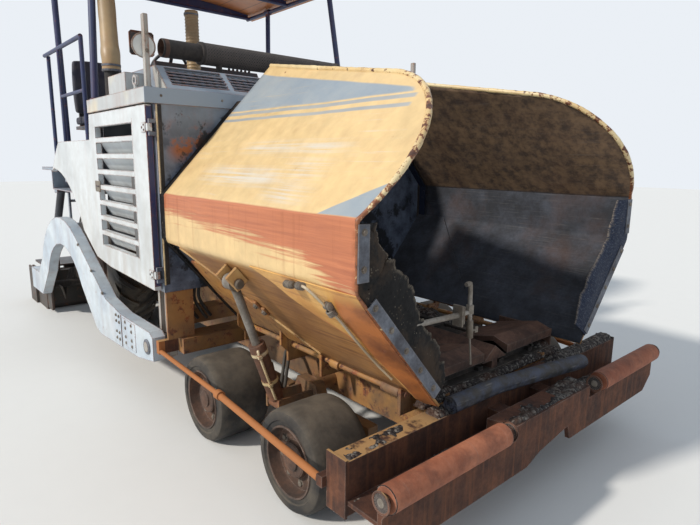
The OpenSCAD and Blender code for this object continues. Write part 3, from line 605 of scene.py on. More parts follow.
def finish_material(name, kind, values, metal=0.0, bump=0.3, distance=0.004, change=None):
    """One finish: its group with its own values, wired to a Principled shader. change may rework the colour."""
    mat = bpy.data.materials.new(name)
    mat.use_nodes = True
    tree = mat.node_tree
    shader = tree.nodes["Principled BSDF"]
    node = tree.nodes.new("ShaderNodeGroup")
    node.node_tree = GROUPS[kind]
    for key, value in values.items():
        node.inputs[key].default_value = value if isinstance(value, float) else (*value, 1)
    colour_out = Wire(node, "Color")
    if change:
        colour_out = change(tree, colour_out)
    tree.links.new(colour_out.socket, shader.inputs["Base Color"])
    tree.links.new(node.outputs["Roughness"], shader.inputs["Roughness"])
    shader.inputs["Metallic"].default_value = metal
    shader.inputs["Specular IOR Level"].default_value = SHINE.get(name, 0.5)
    ridge = added("Bump", {"Height": Wire(node, "Height"), "Strength": bump, "Distance": distance})
    tree.links.new(ridge.socket, shader.inputs["Normal"])
    return mat


# finishes


def wing_places(tree):
    """A wing's own UV place in metres back and up, and the gap to its rounded and sloping upper rim."""
    back, up, _ = parts(own_place(tree))
    panel = up - CREASE_UP
    line = EDGE_FRONT + back * EDGE_SLOPE - panel
    dx = calc("MAXIMUM", CORNER_BACK - back, 0.0)
    dz = calc("MAXIMUM", panel - CORNER_UP, 0.0)
    round_gap = CORNER_R - calc("SQRT", dx * dx + dz * dz)
    round_gap = round_gap + ramp(back, 0.4, 0.46)
    return back, up, panel, line, round_gap


def hopper_pattern(tree, colour_out):
    """Outside of a wing by its own UV place: brown ochre bottom plate, orange-red band streaked along the machine, and
    a cream top panel with a pale blue field, two stripes, a pale corner at the front and soft scuffs."""
    back, up, panel, line, round_gap = wing_places(tree)
    co = place(tree)
    cloud = noise(co, 3.0, 6.0, 0.6)
    fleck = noise(co, 24.0, 7.0, 0.7)
    grain = noise(stretched(co, (1.6, 60.0, 60.0)), 1.0, 6.0, 0.65)
    drips = noise(stretched(own_place(tree), (26.0, 1.2, 1.0)), 1.0, 5.0, 0.6)
    p = paints()
    # blue field, stripes and the pale corner at the front
    field = ramp(panel, 0.681, 0.693) * (ramp(line, 0.084, 0.094)
        * (ramp(back, 0.15, 0.185) * ramp(round_gap, 0.03, 0.05)))
    stripes = calc("MAXIMUM", between(panel, 0.648, 0.674, 0.003), between(panel, 0.595, 0.618, 0.003))
    stripes = stripes * ramp(back, 0.13, 0.15)
    slope = back * 0.59 + panel
    corner = ramp(slope, 0.156, 0.149) * ramp(panel, 0.002, 0.008)
    art = calc("MAXIMUM", calc("MAXIMUM", field, corner), stripes * 0.85)
    art = art * (ramp(grain, 0.28, 0.4, 0.6, 1.0) * ramp(fleck, 0.66, 0.72, 1.0, 0.25))
    colour_out = blend(art, colour_out, blend(ramp(cloud, 0.3, 0.7), (*p.hopper_fade, 1), ink(128, 142, 156)))
    # pale scuffs: soft patches broken into fine streaks along the machine
    marks = None
    for b0, b1, u0, u1 in ((0.39, 1.17, 0.336, 0.4), (0.69, 1.4, 0.12, 0.23),
            (0.45, 0.62, 0.16, 0.29), (0.45, 0.66, 0.035, 0.14)):
        spot = between(back, b0, b1, 0.12) * between(panel, u0, u1, 0.03)
        marks = spot if marks is None else calc("MAXIMUM", marks, spot)
    broken = ramp(noise(stretched(co, (1.3, 70.0, 70.0)), 1.0, 5.0, 0.6), 0.4, 0.6)
    thin = ramp(grain, 0.58, 0.66) * between(panel, 0.02, 0.58, 0.05)
    scuffs = calc("MAXIMUM", marks * (broken * 0.75), thin * (ramp(cloud, 0.42, 0.6) * 0.35))
    colour_out = blend(scuffs, colour_out, ink(206, 204, 198))
    # band: rust down from the crease, deepest at the front
    depth = ramp(back, 0.3, 1.7, 0.19, 0.115) + ramp(back, 0.34, 0.1, 0.0, 0.13)
    down = CREASE_UP - up + ramp(grain, 0.32, 0.68, 0.06, -0.06)
    on_band = between(up, KNEE_UP - 0.04, CREASE_UP + 0.004, 0.004)
    rusted = ramp(down - depth, 0.025, -0.03) * on_band
    red = blend(ramp(grain, 0.3, 0.7), ink(154, 82, 56), ink(192, 114, 76))
    colour_out = blend(rusted * 0.94, colour_out, red)
    streak = ramp(drips, 0.55, 0.72, 0.0, 0.5) * ramp(up, CREASE_UP, CREASE_UP - 0.02)
    colour_out = blend(streak, colour_out, (*p.rust, 1))
    # bottom plate: darker brown ochre with lengthwise streaks, partly stained paint and partly painted shade of a face
    # that looks down
    low = ramp(up, KNEE_UP - 0.01, KNEE_UP - 0.06)
    colour_out = blend(low * 0.9, colour_out, blend(ramp(cloud, 0.35, 0.65), ink(128, 84, 48), ink(170, 118, 62)))
    colour_out = blend(low * ramp(grain, 0.46, 0.66, 0.0, 0.75), colour_out, ink(104, 62, 40))
    # rust that creeps in from the rim
    rim = calc("MAXIMUM", ramp(calc("MINIMUM", line, round_gap), 0.016, 0.0),
        ramp(back, 0.03, 0.0) * ramp(panel, 0.02, 0.0))
    return blend(rim * ramp(fleck, 0.44, 0.56), colour_out, (*p.rust, 1))


def doubler_pattern(tree, colour_out):
    """Second plate by its UV place: orange brown ahead of its crease, partly rust and partly painted shade, yellow with
    painted sunlight behind it, and a reddish strip along its slanting edge."""
    across, up, _ = parts(own_place(tree))
    co = place(tree)
    cloud = noise(co, 6.0, 7.0, 0.65)
    grain = noise(stretched(co, (3.0, 40.0, 40.0)), 1.0, 6.0, 0.65)
    ahead = ramp(across, 1.04, 0.96)
    # ahead of the crease: orange brown, partly rust and partly painted shade
    brown = blend(ramp(cloud, 0.36, 0.62), ink(116, 66, 42), ink(178, 106, 56))
    # behind the crease: yellow paint with painted sunlight
    yellow = blend(ramp(cloud, 0.36, 0.66), ink(222, 176, 104), ink(194, 140, 74))
    yellow = blend(ramp(grain, 0.52, 0.7, 0.0, 0.8), yellow, ink(140, 84, 50))
    strip = ramp(across, 1.72, 1.86) * ramp(up, 0.62, 0.5)
    yellow = blend(strip * 0.8, yellow, ink(164, 90, 62))
    top = ramp(up, 0.7, 0.78)
    return blend(0.92, colour_out, blend(ahead * (1.0 - top), yellow, brown))


def rim_pattern(tree, colour_out):
    """Rolled lip by metres along it: rusty brown up the front edge, cream broken by brown round the corner, and cream
    with a thin brown line along the top."""
    run = parts(own_place(tree))[0]
    fleck = noise(place(tree), 26.0, 8.0, 0.72)
    share = ramp(run, CREASE_UP - 0.22, CREASE_UP - 0.02, 0.6, 0.49)
    share = share - ramp(run, CREASE_UP + 0.75, CREASE_UP + 1.25, 0.0, 0.09)
    brown = ramp(fleck + (share - 0.5), 0.49, 0.52)
    return blend(brown, colour_out, blend(ramp(fleck, 0.5, 0.62), ink(140, 84, 50), ink(72, 46, 36)))


def inside_pattern(tree, colour_out):
    """Inside of a wing: scraped dark blue grey steel below the crease and rusty tan above it, with long scratches."""
    uv = own_place(tree)
    co = place(tree)
    scratch = noise(stretched(uv, (3.0, 90.0, 1.0)), 1.0, 5.0, 0.7)
    wash = noise(co, 2.2, 6.0, 0.6)
    fleck = noise(co, 14.0, 7.0, 0.7)
    up = parts(uv)[1]
    tan = blend(ramp(fleck, 0.38, 0.62), ink(78, 64, 54), ink(136, 110, 84))
    colour_out = blend(ramp(up, CREASE_UP - 0.004, CREASE_UP + 0.02, 0.0, 0.85), colour_out, tan)
    colour_out = blend(ramp(scratch, 0.56, 0.72, 0.0, 0.3), colour_out, ink(128, 124, 120))
    return blend(ramp(wash, 0.54, 0.72, 0.0, 0.4), colour_out, ink(84, 60, 48))


def flap_pattern(tree, colour_out):
    """Torn rubber, near black with pale crumbs and a fibrous torn edge; the left one is bluish with pale streaks,
    partly scrapes and partly painted sheen.
    """
    uv = own_place(tree)
    across = parts(uv)[0]
    co = place(tree)
    crumbs = added("TexVoronoi", {"Vector": co, "Scale": 60.0}, "Distance")
    crumbs = ramp(crumbs, 0.24, 0.18) * ramp(noise(co, 9.0, 4.0), 0.52, 0.6)
    fibres = noise(stretched(uv, (8.0, 170.0, 1.0)), 1.0, 5.0, 0.7)
    left = ramp(parts(co)[1], -0.01, 0.01)
    # left flap: bluish tint with pale grey streaks, partly scrapes and partly painted sheen
    colour_out = blend(left * 0.7, colour_out, blend(ramp(fibres, 0.52, 0.68), ink(46, 54, 74), ink(112, 120, 136)))
    colour_out = blend(ramp(noise(co, 5.0, 7.0, 0.7), 0.46, 0.6, 0.0, 0.6) * (1.0 - left), colour_out,
        ink(74, 60, 48))
    colour_out = blend(crumbs * 0.45, colour_out, ink(128, 118, 104))
    torn = ramp(across, 0.9, 0.98) * ramp(fibres, 0.42, 0.54)
    return blend(torn * 0.6, colour_out, ink(140, 128, 112))


def front_pattern(tree, colour_out):
    """Front beams: pale ochre painted sunlight on the crossbeam's top at the machine's right, dark brown faces with
    upright runs.
    """
    co = place(tree)
    x, y, z = parts(co)
    up = parts(normal(tree))[2]
    runs = noise(stretched(co, (30.0, 30.0, 2.0)), 1.0, 5.0, 0.65)
    side = ramp(up, 0.6, 0.3)
    colour_out = blend(side * ramp(runs, 0.5, 0.66, 0.0, 0.5), colour_out, ink(126, 82, 58))
    # painted sunlight: the crossbeam's top faces at the machine's right end turn pale ochre, broken by noise
    pale = ramp(up, 0.6, 0.9) * (ramp(y, -0.55, -0.7) * ramp(z, 0.52, 0.535))
    pale = pale * ramp(noise(co, 12.0, 6.0, 0.65), 0.38, 0.5)
    rod = ramp(abs(y), 1.19, 1.193) * ramp(x, at(0.45), at(0.46))
    colour_out = blend(rod * 0.75, colour_out, ink(178, 116, 70))
    return blend(pale * 0.85, colour_out, ink(172, 136, 92))


def body_pattern(tree, colour_out):
    """Body: the bulkhead's face in the hopper is dark with bitumen and painted shade, more so lower down, with a rust
    scar and flaked holes.
    """
    co = place(tree)
    x, y, z = parts(co)
    inside = ramp(x, at(2.082), at(2.078)) * ramp(z, 2.036, 2.03)
    cloud = noise(co, 7.0, 7.0, 0.66)
    # painted shade with bitumen: the bulkhead's face inside the hopper turns dark navy, more so lower down
    dark = blend(ramp(cloud, 0.4, 0.62), ink(60, 68, 84), ink(104, 114, 132))
    colour_out = blend(inside * ramp(z, 1.98, 1.8, 0.35, 0.95), colour_out, dark)
    scar = between(y, -1.1, -0.84, 0.04) * between(z, 1.72, 1.92, 0.04)
    scar = scar * inside * ramp(cloud, 0.46, 0.54)
    colour_out = blend(scar, colour_out, (*paints().rust, 1))
    # near black blotches inside the hopper: bitumen and painted shade
    bitumen_and_shade = inside * ramp(noise(co, 3.2, 8.0, 0.7), 0.54, 0.58)
    return blend(bitumen_and_shade * 0.9, colour_out, (0.01, 0.01, 0.012, 1))


def apron_pattern(tree, colour_out):
    """Rolled rubber: mottled blue black with dull pale scrapes along it."""
    co = place(tree)
    cloud = noise(co, 16.0, 7.0, 0.7)
    scrape = noise(stretched(co, (50.0, 5.0, 50.0)), 1.0, 5.0, 0.65)
    colour_out = blend(ramp(cloud, 0.4, 0.62, 0.0, 0.8), colour_out, ink(74, 80, 96))
    return blend(ramp(scrape, 0.58, 0.7, 0.0, 0.6), colour_out, ink(132, 128, 124))


def door_pattern(tree, colour_out):
    """Pale door: upright streaks of dust, more of them low down."""
    height = parts(place(tree))[2]
    dust = noise(stretched(place(tree), (9.0, 9.0, 1.4)), 1.0, 5.0, 0.6)
    low = ramp(height, 1.9, 0.95, 0.0, 0.35)
    return blend(ramp(dust, 0.4, 0.7) * low, colour_out, ink(150, 132, 104))


def roof_pattern(tree, colour_out):
    """Canopy: narrow panels along the machine with dark joints between them."""
    y = parts(place(tree))[1]
    wave = abs(calc("FRACT", y * 4.2) - 0.5)
    return blend(ramp(wave, 0.47, 0.49, 0.0, 0.8), colour_out, ink(70, 46, 34))


def guard_pattern(tree, colour_out):
    """Perforated guard: rows of dark holes by the piece's own UV place, angle and metres along."""
    turn, along, _ = parts(own_place(tree))
    a = calc("FRACT", turn * 22.0) - 0.5
    b = calc("FRACT", along * 48.0) - 0.5
    far = calc("SQRT", a * a + b * b)
    hole = ramp(far, 0.32, 0.27)
    rim = ramp(far, 0.27, 0.33) * ramp(far, 0.42, 0.36)
    colour_out = blend(rim * 0.5, colour_out, ink(150, 138, 130))
    return blend(hole, colour_out, (0.004, 0.004, 0.005, 1))


def mesh_pattern(tree, colour_out):
    """Expanded metal: slanting bars crossing over black, by the piece's own UV place in metres."""
    across, up, _ = parts(own_place(tree))
    masks = []
    for sign in (1.0, -1.0):
        line = across * 18.0 + up * (34.0 * sign)
        off = abs(calc("FRACT", line) - 0.5)
        masks.append(ramp(off, 0.4, 0.46))
    return blend(calc("MAXIMUM", masks[0], masks[1]), (0.004, 0.005, 0.008, 1), colour_out)


def lid_pattern(tree, colour_out):
    """Lid: its front skin is the body's blue grey, by place along the machine."""
    x = parts(place(tree))[0]
    return blend(ramp(x, at(2.07), at(2.069)), colour_out, (*paints().body_paint, 1))


MATERIALS = {}


def finish_table():
    """Every finish: its group and the group's own values."""
    p = paints()

    def paint(base, faded=None, chips=0.25, streaks=0.25, grime=0.35):
        return ("paint", {"Paint": tuple(base), "Faded": tuple(faded or base), "Chips": chips, "Streaks": streaks,
            "Grime": grime})

    def rusted(light, dark, bright, crust):
        return ("rust", {"Light": tuple(light), "Dark": dark, "Bright": bright, "Crust": crust})

    return {
        "frame_ochre": paint(srgb(190, 138, 74), srgb(158, 112, 66), 0.58, 0.8, 1.15),
        "beam_rust": rusted(srgb(112, 74, 56), srgb(66, 46, 40), 0.6, 0.5),
        "roller_terracotta": rusted(p.terracotta, srgb(132, 74, 50), 0.45, 0.35),
        "conveyor_steel": rusted(srgb(92, 82, 74), srgb(42, 38, 36), 0.8, 0.7),
        "hood_brown": rusted(srgb(118, 88, 74), srgb(70, 54, 48), 0.5, 0.5),
        "rubber_black": ("rubber", {"Dusty": 0.35}),
        "body_bluegrey": paint(p.body_paint, srgb(128, 138, 150), 0.3, 0.35, 0.35),
        "lid_cream": paint(srgb(186, 190, 192), p.cream, 0.25, 0.4, 0.2),
        "engine_grey": paint(srgb(72, 74, 76), srgb(58, 56, 54), 0.3, grime=0.9),
        "door_white": paint(p.door_paint, srgb(198, 204, 208), 0.14, 0.18, 0.25),
        "exhaust_black": rusted(srgb(58, 50, 46), srgb(26, 24, 24), 0.3, 0.2),
        "duct_tan": paint(p.duct, srgb(146, 124, 94), 0.12, 0.3, 0.3),
        "lamp_grey": paint(srgb(176, 176, 172), srgb(150, 146, 138), 0.4, 0.4, 0.4),
        "console_grey": paint(srgb(64, 68, 76), srgb(54, 56, 60), 0.25, grime=0.4),
        "seat_fabric": ("cloth", {}),
        "post_navy": paint(p.navy, srgb(50, 60, 96), 0.34, 0.2, 0.15),
        "roof_orange": paint(p.roof, srgb(176, 108, 62), 0.1, 0.2, 0.1),
        "tyre_black": ("rubber", {"Dusty": 0.55}),
        "hopper_yellow": paint(p.hopper_paint, srgb(214, 186, 136), 0.2, 0.22, 0.22),
        "hopper_inside": rusted(p.inner_steel, srgb(48, 50, 56), 0.4, 0.25),
        "barrel_brown": rusted(srgb(124, 82, 56), srgb(72, 50, 40), 0.5, 0.2),
        "rod_chrome": rusted(srgb(168, 164, 158), srgb(120, 112, 102), 0.2, 0.0),
        "arm_white": paint(p.arm_paint, srgb(186, 200, 214), 0.28, 0.35, 0.35),
        "screed_steel": paint(srgb(58, 60, 62), srgb(48, 46, 44), 0.45, 0.3, 0.7),
        "wheel_disc": rusted(srgb(112, 80, 62), srgb(64, 52, 46), 0.8, 0.3),
        "bolt_steel": rusted(srgb(150, 144, 134), srgb(96, 84, 72), 0.8, 0.1),
        "strip_steel": rusted(srgb(136, 142, 152), srgb(84, 84, 90), 0.8, 0.1),
        "rim_paint": paint(srgb(226, 208, 164), srgb(216, 188, 136), 0.2, 0.3, 0.1),
        "edge_cream": paint(srgb(214, 180, 122), srgb(178, 126, 72), 0.45, 0.5, 0.3),
        "doubler_ochre": paint(p.ochre, srgb(190, 138, 70), 0.4, 0.4, 0.35),
        "flap_rubber": ("rubber", {"Rubber": srgb(17, 17, 19), "Dusty": 0.02}),
        "apron_rubber": ("rubber", {"Rubber": srgb(30, 32, 38), "Dusty": 0.25}),
        "lead_tan": paint(srgb(196, 184, 160), srgb(164, 148, 120), 0.1, 0.2, 0.2),
        "asphalt_crust": ("crust", {}),
        "hose_black": ("rubber", {"Dusty": 0.25}),
        "dial_black": paint(srgb(30, 31, 34), None, 0.05, grime=0.1),
        "lamp_glass": paint(srgb(226, 228, 226), srgb(206, 208, 206), 0.0, 0.05, 0.1),
        "cream_seal": paint(p.cream, srgb(204, 182, 132), 0.3, 0.5, 0.25),
        "guard_black": rusted(srgb(74, 66, 62), srgb(40, 36, 36), 0.4, 0.1),
        "mesh_black": paint(srgb(92, 106, 128), srgb(74, 84, 104), 0.2, grime=0.3),
        "louvre_dark": paint(srgb(96, 100, 104), srgb(70, 70, 70), 0.15, 0.3, 0.5),
    }


CHANGES = {"hopper_yellow": hopper_pattern, "hopper_inside": inside_pattern, "door_white": door_pattern,
    "roof_orange": roof_pattern, "doubler_ochre": doubler_pattern, "rim_paint": rim_pattern,
    "flap_rubber": flap_pattern, "beam_rust": front_pattern, "body_bluegrey": body_pattern,
    "apron_rubber": apron_pattern, "guard_black": guard_pattern, "mesh_black": mesh_pattern, "lid_cream": lid_pattern}
SHINE = {"flap_rubber": 0.08, "apron_rubber": 0.25, "asphalt_crust": 0.2, "tyre_black": 0.25, "beam_rust": 0.2,
    "hood_brown": 0.2, "hopper_inside": 0.3}
METAL = {"rod_chrome": 0.85, "bolt_steel": 0.6, "strip_steel": 0.55, "wheel_disc": 0.2, "conveyor_steel": 0.3}
BUMPS = {"asphalt_crust": (0.9, 0.012), "beam_rust": (0.5, 0.006), "tyre_black": (0.35, 0.003)}


def material(name):
    """The material of a finish, made when it is first asked for."""
    if name not in MATERIALS:
        kind, values = finish_table()[name]
        bump, distance = BUMPS.get(name, (0.3, 0.004))
        MATERIALS[name] = finish_material(name, kind, values, METAL.get(name, 0.0), bump, distance, CHANGES.get(name))
    return MATERIALS[name]


# hopper wings

HINGE = np.array([0.675, 0.621])
KNEE = np.array([1.19, 1.225])
CREASE = np.array([1.19, 1.5055])
PANEL_LEAN = math.radians(43)
PANEL_DIR = np.array([-math.sin(PANEL_LEAN), math.cos(PANEL_LEAN)])
WING_FRONT, WING_LENGTH = 0.27, 1.735
EDGE_FRONT, EDGE_SLOPE = 0.7662, 0.2071
CORNER_R, CORNER_BACK, CORNER_UP, CORNER_END = 0.57, 0.515, 0.2908, 0.3994
BOW_R, BOW = 0.7672, 0.055
TURN = np.array([CORNER_BACK - CORNER_R * math.sqrt(0.5), CORNER_UP + CORNER_R * math.sqrt(0.5)])
CUT_BACK, CUT_SLOPE, CUT_UP = 0.814, 1.0116, 0.772
PLATE = 0.012
PLATE_DIR = (KNEE - HINGE) / np.linalg.norm(KNEE - HINGE)
PLATE_OUT = np.array([PLATE_DIR[1], -PLATE_DIR[0]])
PLATE_RISE = math.degrees(math.atan2(PLATE_DIR[1], PLATE_DIR[0]))
EYE, EYE_STATION = np.array([1.14, 1.09]), 1.285


def filleted(a, corner, b, radius, count):
    """Points on an arc of this radius that touches both legs of a corner."""
    u, v = (a - corner) / np.linalg.norm(a - corner), (b - corner) / np.linalg.norm(b - corner)
    half = math.acos(float(np.clip(u @ v, -1, 1))) / 2
    centre = corner + (u + v) / np.linalg.norm(u + v) * radius / math.sin(half)
    start, end = corner + u * radius / math.tan(half) - centre, corner + v * radius / math.tan(half) - centre
    t = np.linspace(0, 1, count)[:, None]
    arc = math.pi - 2 * half
    return centre + (np.sin((1 - t) * arc) * start + np.sin(t * arc) * end) / math.sin(arc)


def wing_profile():
    """Outer line of the bottom plate, the round knee, the band and the crease, as places across and heights."""
    knee = filleted(HINGE, KNEE, CREASE, 0.06, 9)
    crease = filleted(KNEE, CREASE, CREASE + PANEL_DIR, 0.018, 4)
    low = HINGE + (knee[0] - HINGE) * np.linspace(0, 1, 13)[:-1, None]
    band = knee[-1] + (crease[0] - knee[-1]) * np.linspace(0, 1, 8)[1:-1, None]
    return np.concatenate([low, knee, band, crease])


PROFILE = wing_profile()
PROFILE_RUN = np.concatenate([[0], np.cumsum(np.linalg.norm(np.diff(PROFILE, axis=0), axis=1))])
KNEE_UP, CREASE_UP = float(PROFILE_RUN[16]), float(PROFILE_RUN[-1])


def front_back(up):
    """Metres back of the top panel's front edge at a height up the panel: a shallow bow that swells ahead of the
    lower corner, then the large round corner."""
    bow = BOW_R - BOW - np.sqrt(BOW_R ** 2 - (up - CORNER_UP) ** 2)
    turn = CORNER_BACK - np.sqrt(np.clip(CORNER_R ** 2 - (up - CORNER_UP) ** 2, 0, None))
    return np.where(up < CORNER_UP, bow, turn)


def top_height(back):
    """Height of the top panel's upper edge by metres back: the end of the round corner, then a straight slope."""
    turn = CORNER_UP + np.sqrt(np.clip(CORNER_R ** 2 - (CORNER_BACK - back) ** 2, 0, None))
    return np.where(back < CORNER_END, turn, EDGE_FRONT + EDGE_SLOPE * back)


def panel_places(along, rise):
    """Metres back and metres up on the top panel from two parameters from 0 to 1. Its four edges, which are the
    crease, the bowed front, the rounded and sloping top and the straight rear, are joined by a Coons patch."""
    s, t = along[:, None, None], rise[None, :, None]
    low = np.stack([WING_LENGTH * along, 0 * along], -1)[:, None]
    back = TURN[0] + (WING_LENGTH - TURN[0]) * along
    top = np.stack([back, top_height(back)], -1)[:, None]
    up = TURN[1] * rise
    front = np.stack([front_back(up), up], -1)[None]
    end = np.array([WING_LENGTH, float(top_height(np.array(WING_LENGTH)))])
    rear = np.stack([WING_LENGTH + 0 * rise, end[1] * rise], -1)[None]
    corners = s * (1 - t) * np.array([WING_LENGTH, 0]) + (1 - s) * t * TURN + s * t * end
    return (1 - t) * low + t * top + (1 - s) * front + s * rear - corners


def wing_point(back, up, lift=0.0):
    """Point of a wing's outer face from metres back and metres up: along the profile, then up the leaning panel. lift
    moves it out along the face."""
    back, up = np.broadcast_arrays(np.asarray(back, float), np.asarray(up, float))
    step = 0.01
    (y, z), (y2, z2) = (
        [np.interp(run, PROFILE_RUN, PROFILE[:, k]) + np.clip(run - CREASE_UP, 0, None) * PANEL_DIR[k]
            for k in (0, 1)] for run in (up, up + step))
    ny, nz = (z2 - z) / step, (y - y2) / step
    size = np.sqrt(ny ** 2 + nz ** 2)
    return np.stack([at(WING_FRONT + back), y + ny / size * lift, z + nz / size * lift], -1)


def plate_point(back, up, lift=0.0):
    """Point of the bottom plate's flat outer plane, moved out by lift."""
    back, up, lift = np.broadcast_arrays(np.asarray(back, float), np.asarray(up, float), np.asarray(lift, float))
    across = HINGE + up[..., None] * PLATE_DIR + lift[..., None] * PLATE_OUT
    return np.concatenate([at(WING_FRONT + back)[..., None], across], -1)


def cut_back(up):
    """Metres back where the bottom plate ends: a slanting cut, and the full length above it."""
    return np.where(up < CUT_UP, CUT_BACK + CUT_SLOPE * up, WING_LENGTH)


def wing_sheet(side, mirrored):
    """A wing's plate: its columns run up the profile, where the slanting cut draws their rear part together, and then
    up the top panel's patch, pushed in and out by smooth dents. Solidify gives it its thickness inwards."""
    along = np.concatenate([[0, 0.004, 0.01, 0.02, 0.034, 0.05, 0.07, 0.095], np.linspace(0.125, 1, 42)])
    backs, up = along[:, None] * WING_LENGTH, PROFILE_RUN[None]
    kept = 0.55
    backs = np.where(backs > kept, kept + (backs - kept) * (cut_back(up) - kept) / (WING_LENGTH - kept), backs)
    panel = panel_places(along, np.linspace(0, 1, 30)[1:])
    backs = np.concatenate([backs, panel[..., 0]], 1)
    ups = np.concatenate([np.broadcast_to(up, (len(along), up.size)), CREASE_UP + panel[..., 1]], 1)
    away = np.clip(np.minimum(along, 1 - along) / 0.07, 0, 1)[:, None]
    dents = smooth_noise(backs * 2.6 + 1, ups * 3.4, 11 if mirrored else 23, 3) - 0.5
    points = wing_point(backs, ups, dents * sizes().dent * 1.6 * away)
    shape = Shape().add(points, grid_quads(*ups.shape)[:, ::-1], 0, True, np.stack([backs, ups], -1))
    piece = shape.object("wing_plate_" + side, ["hopper_yellow", "hopper_inside", "edge_cream"],
        "hopper_wing_" + side, "hopper_yellow", ["hopper_wing_" + side], mirrored, closed=False)
    solid = piece.modifiers.new("thickness", "SOLIDIFY")
    solid.thickness, solid.offset, solid.use_even_offset = PLATE, -1.0, False
    solid.material_offset, solid.material_offset_rim = 1, 2
    return bent(piece, 30)


def doubler_front(up):
    """Metres back of the crease that runs up the second plate near its front edge."""
    return np.interp(up, [0.0, 0.06, 0.17, 0.27, 0.36, 0.55, 0.7, 0.79],
        [0.06, 0.076, 0.09, 0.127, 0.16, 0.18, 0.17, 0.15])


def doubler_back(up):
    """Metres back of the second plate's slanting rear edge: the crease itself at the bottom, then a bowed line up to
    the cylinder's clevis."""
    line = np.interp(up, [0.0, 0.3, 0.39, 0.45, 0.506, 0.547, 0.586, 0.628, 0.728, 0.787],
        [0.06, 0.14, 0.186, 0.232, 0.286, 0.365, 0.436, 0.5, 0.65, 0.77])
    return np.maximum(line, doubler_front(up) + 0.004)


def wing_doubler(side, mirrored):
    """Second plate outside the bottom plate: rows run from the wing's front edge out to a crease, and on to the
    slanting edge. It stands off most in its middle and meets the wing at the knee and along the front."""
    up = np.linspace(0.012, 0.786, 30)[:, None]
    t = np.linspace(0, 1, 7)[None]
    fold, end = doubler_front(up), doubler_back(up)
    backs = np.concatenate([0.002 + (fold - 0.002) * t, fold + (end - fold) * t[:, 1:]], 1)
    ups = up + 0 * backs
    stand = sizes().stand_off * np.clip((0.8 - up) / 0.16, 0.08, 1) * np.clip((up + 0.03) / 0.1, 0.4, 1)
    lift = stand * np.clip(backs / fold, 0.15, 1) * (1 - 0.35 * np.clip((backs - 0.35) / 0.4, 0, 1))
    lift = lift + 0.003 * smooth_noise(backs * 6, ups * 6, 41, 3)
    shape = shell(Shape(), plate_point(backs, ups, lift), plate_point(backs, ups, -0.002), 0,
        np.stack([np.broadcast_to(np.linspace(0, 2, 13), ups.shape), ups], -1))
    return bent(shape.object("wing_doubler_" + side, ["doubler_ochre"], "hopper_wing_" + side, "hopper_yellow", (),
        mirrored), 7)


def wing_hardware(side, mirrored):
    """Rolled rim, hinge lugs, the cylinder's clevis, the bright edge of the cut with its tabs and bolts, and the clamp
    strips of the seal."""
    shape = Shape()
    lift = -PLATE / 2
    front = wing_point(0 * PROFILE_RUN, PROFILE_RUN, lift)
    rise = np.linspace(0, 1, 26)[1:]
    bow = wing_point(front_back(TURN[1] * rise), CREASE_UP + TURN[1] * rise, lift)
    back = TURN[0] + (WING_LENGTH - TURN[0]) * np.linspace(0, 1, 46)[1:]
    edge = wing_point(back, CREASE_UP + top_height(back), lift)

    def lip(run):
        rough = 1 + 0.14 * smooth_noise(run * 22, run * 0, 5, 3) + 0.08 * smooth_noise(run * 60, run * 0, 6, 2)
        return rough * np.interp(run, [0, CREASE_UP - 0.35, CREASE_UP - 0.1, CREASE_UP + 0.1], [0.5, 0.5, 0.75, 1.0])

    pipe(shape, np.concatenate([front[3:], bow, edge]), sizes().bead, 0, 12, 300, lip)
    for start, end in ((0.52, 0.64), (0.98, 1.05)):
        profile = [(-start, 0.017), (-start, 0.029), (-start - 0.004, 0.03), (-end + 0.004, 0.03), (-end, 0.029),
            (-end, 0.017), (-start, 0.017)]
        lathe(shape, profile, (NOSE_X, 0.655, 0.6), 0, 24, 1)
    # clevis of the cylinder: two long ears, the pin and its round heads
    place_of_eye = (at(EYE_STATION), *EYE)
    for offset in (-0.052, 0.052):
        slab(shape, (offset - 0.008, -0.034, -0.032), (0.016, 0.11, 0.086), 4, turned(0, PLATE_RISE), place_of_eye,
            0.006)
    lathe(shape, [(-0.066, 0), (-0.066, 0.011), (0.066, 0.011), (0.066, 0)], place_of_eye, 0, 16, 3)
    for end in (-1, 1):
        knob = [(0.06, 0), (0.06, 0.026), (0.074, 0.026), (0.08, 0.02), (0.08, 0)]
        lathe(shape, [(end * a, r) for a, r in knob], place_of_eye, 0, 16, 3)
    # rolled bright edge along the slanting cut, and tabs with bolts on it
    ups = np.linspace(0.03, CUT_UP - 0.01, 24)
    pipe(shape, plate_point(cut_back(ups) - 0.004, ups, 0.002), 0.0075, 4, 8, 60)
    for u, wide in ((0.485, 0.03), (0.374, 0.04), (0.33, 0.034)):
        b = float(cut_back(np.array(u))) - 0.05
        slab(shape, (-wide / 2, -0.03, -0.008), (wide, 0.06, 0.016), 1, turned(0, PLATE_RISE),
            plate_point(b, u, 0.006), 0.004)
    heads = plate_point(cut_back(np.array([0.485, 0.374, 0.33])) - 0.05, np.array([0.485, 0.374, 0.33]), 0.014)
    bolts(shape, heads, (0, *PLATE_OUT), 0.015, 3, 0.8, 1.3)
    # clamp strips on the front edge with their bolts
    for low, high in ((0.075, 0.712), (KNEE_UP + 0.045, CREASE_UP - 0.02)):
        run = np.linspace(low, high, 16)
        outer, inner = wing_point(0 * run, run, -0.003), wing_point(0 * run, run, -0.057)
        ring = np.stack([outer + (0.014, 0, 0), inner + (0.014, 0, 0), inner, outer], 1)
        shape.add(ring, grid_quads(len(run), 4, wrap_columns=True), 2, False)
        for k in (0, -1):
            shape.add(ring[k], np.arange(4)[None] if k else np.arange(4)[None, ::-1], 2, False)
        heads = wing_point(0, np.arange(low + 0.05, high - 0.02, 0.14), -0.03) + (0.014, 0, 0)
        bolts(shape, heads, (1, 0, 0), 0.01, 3)
    return bent(shape.object("wing_fittings_" + side, ["rim_paint", "frame_ochre", "strip_steel", "bolt_steel",
        "edge_cream"], "hopper_wing_" + side, "hopper_yellow", (), mirrored), 35)


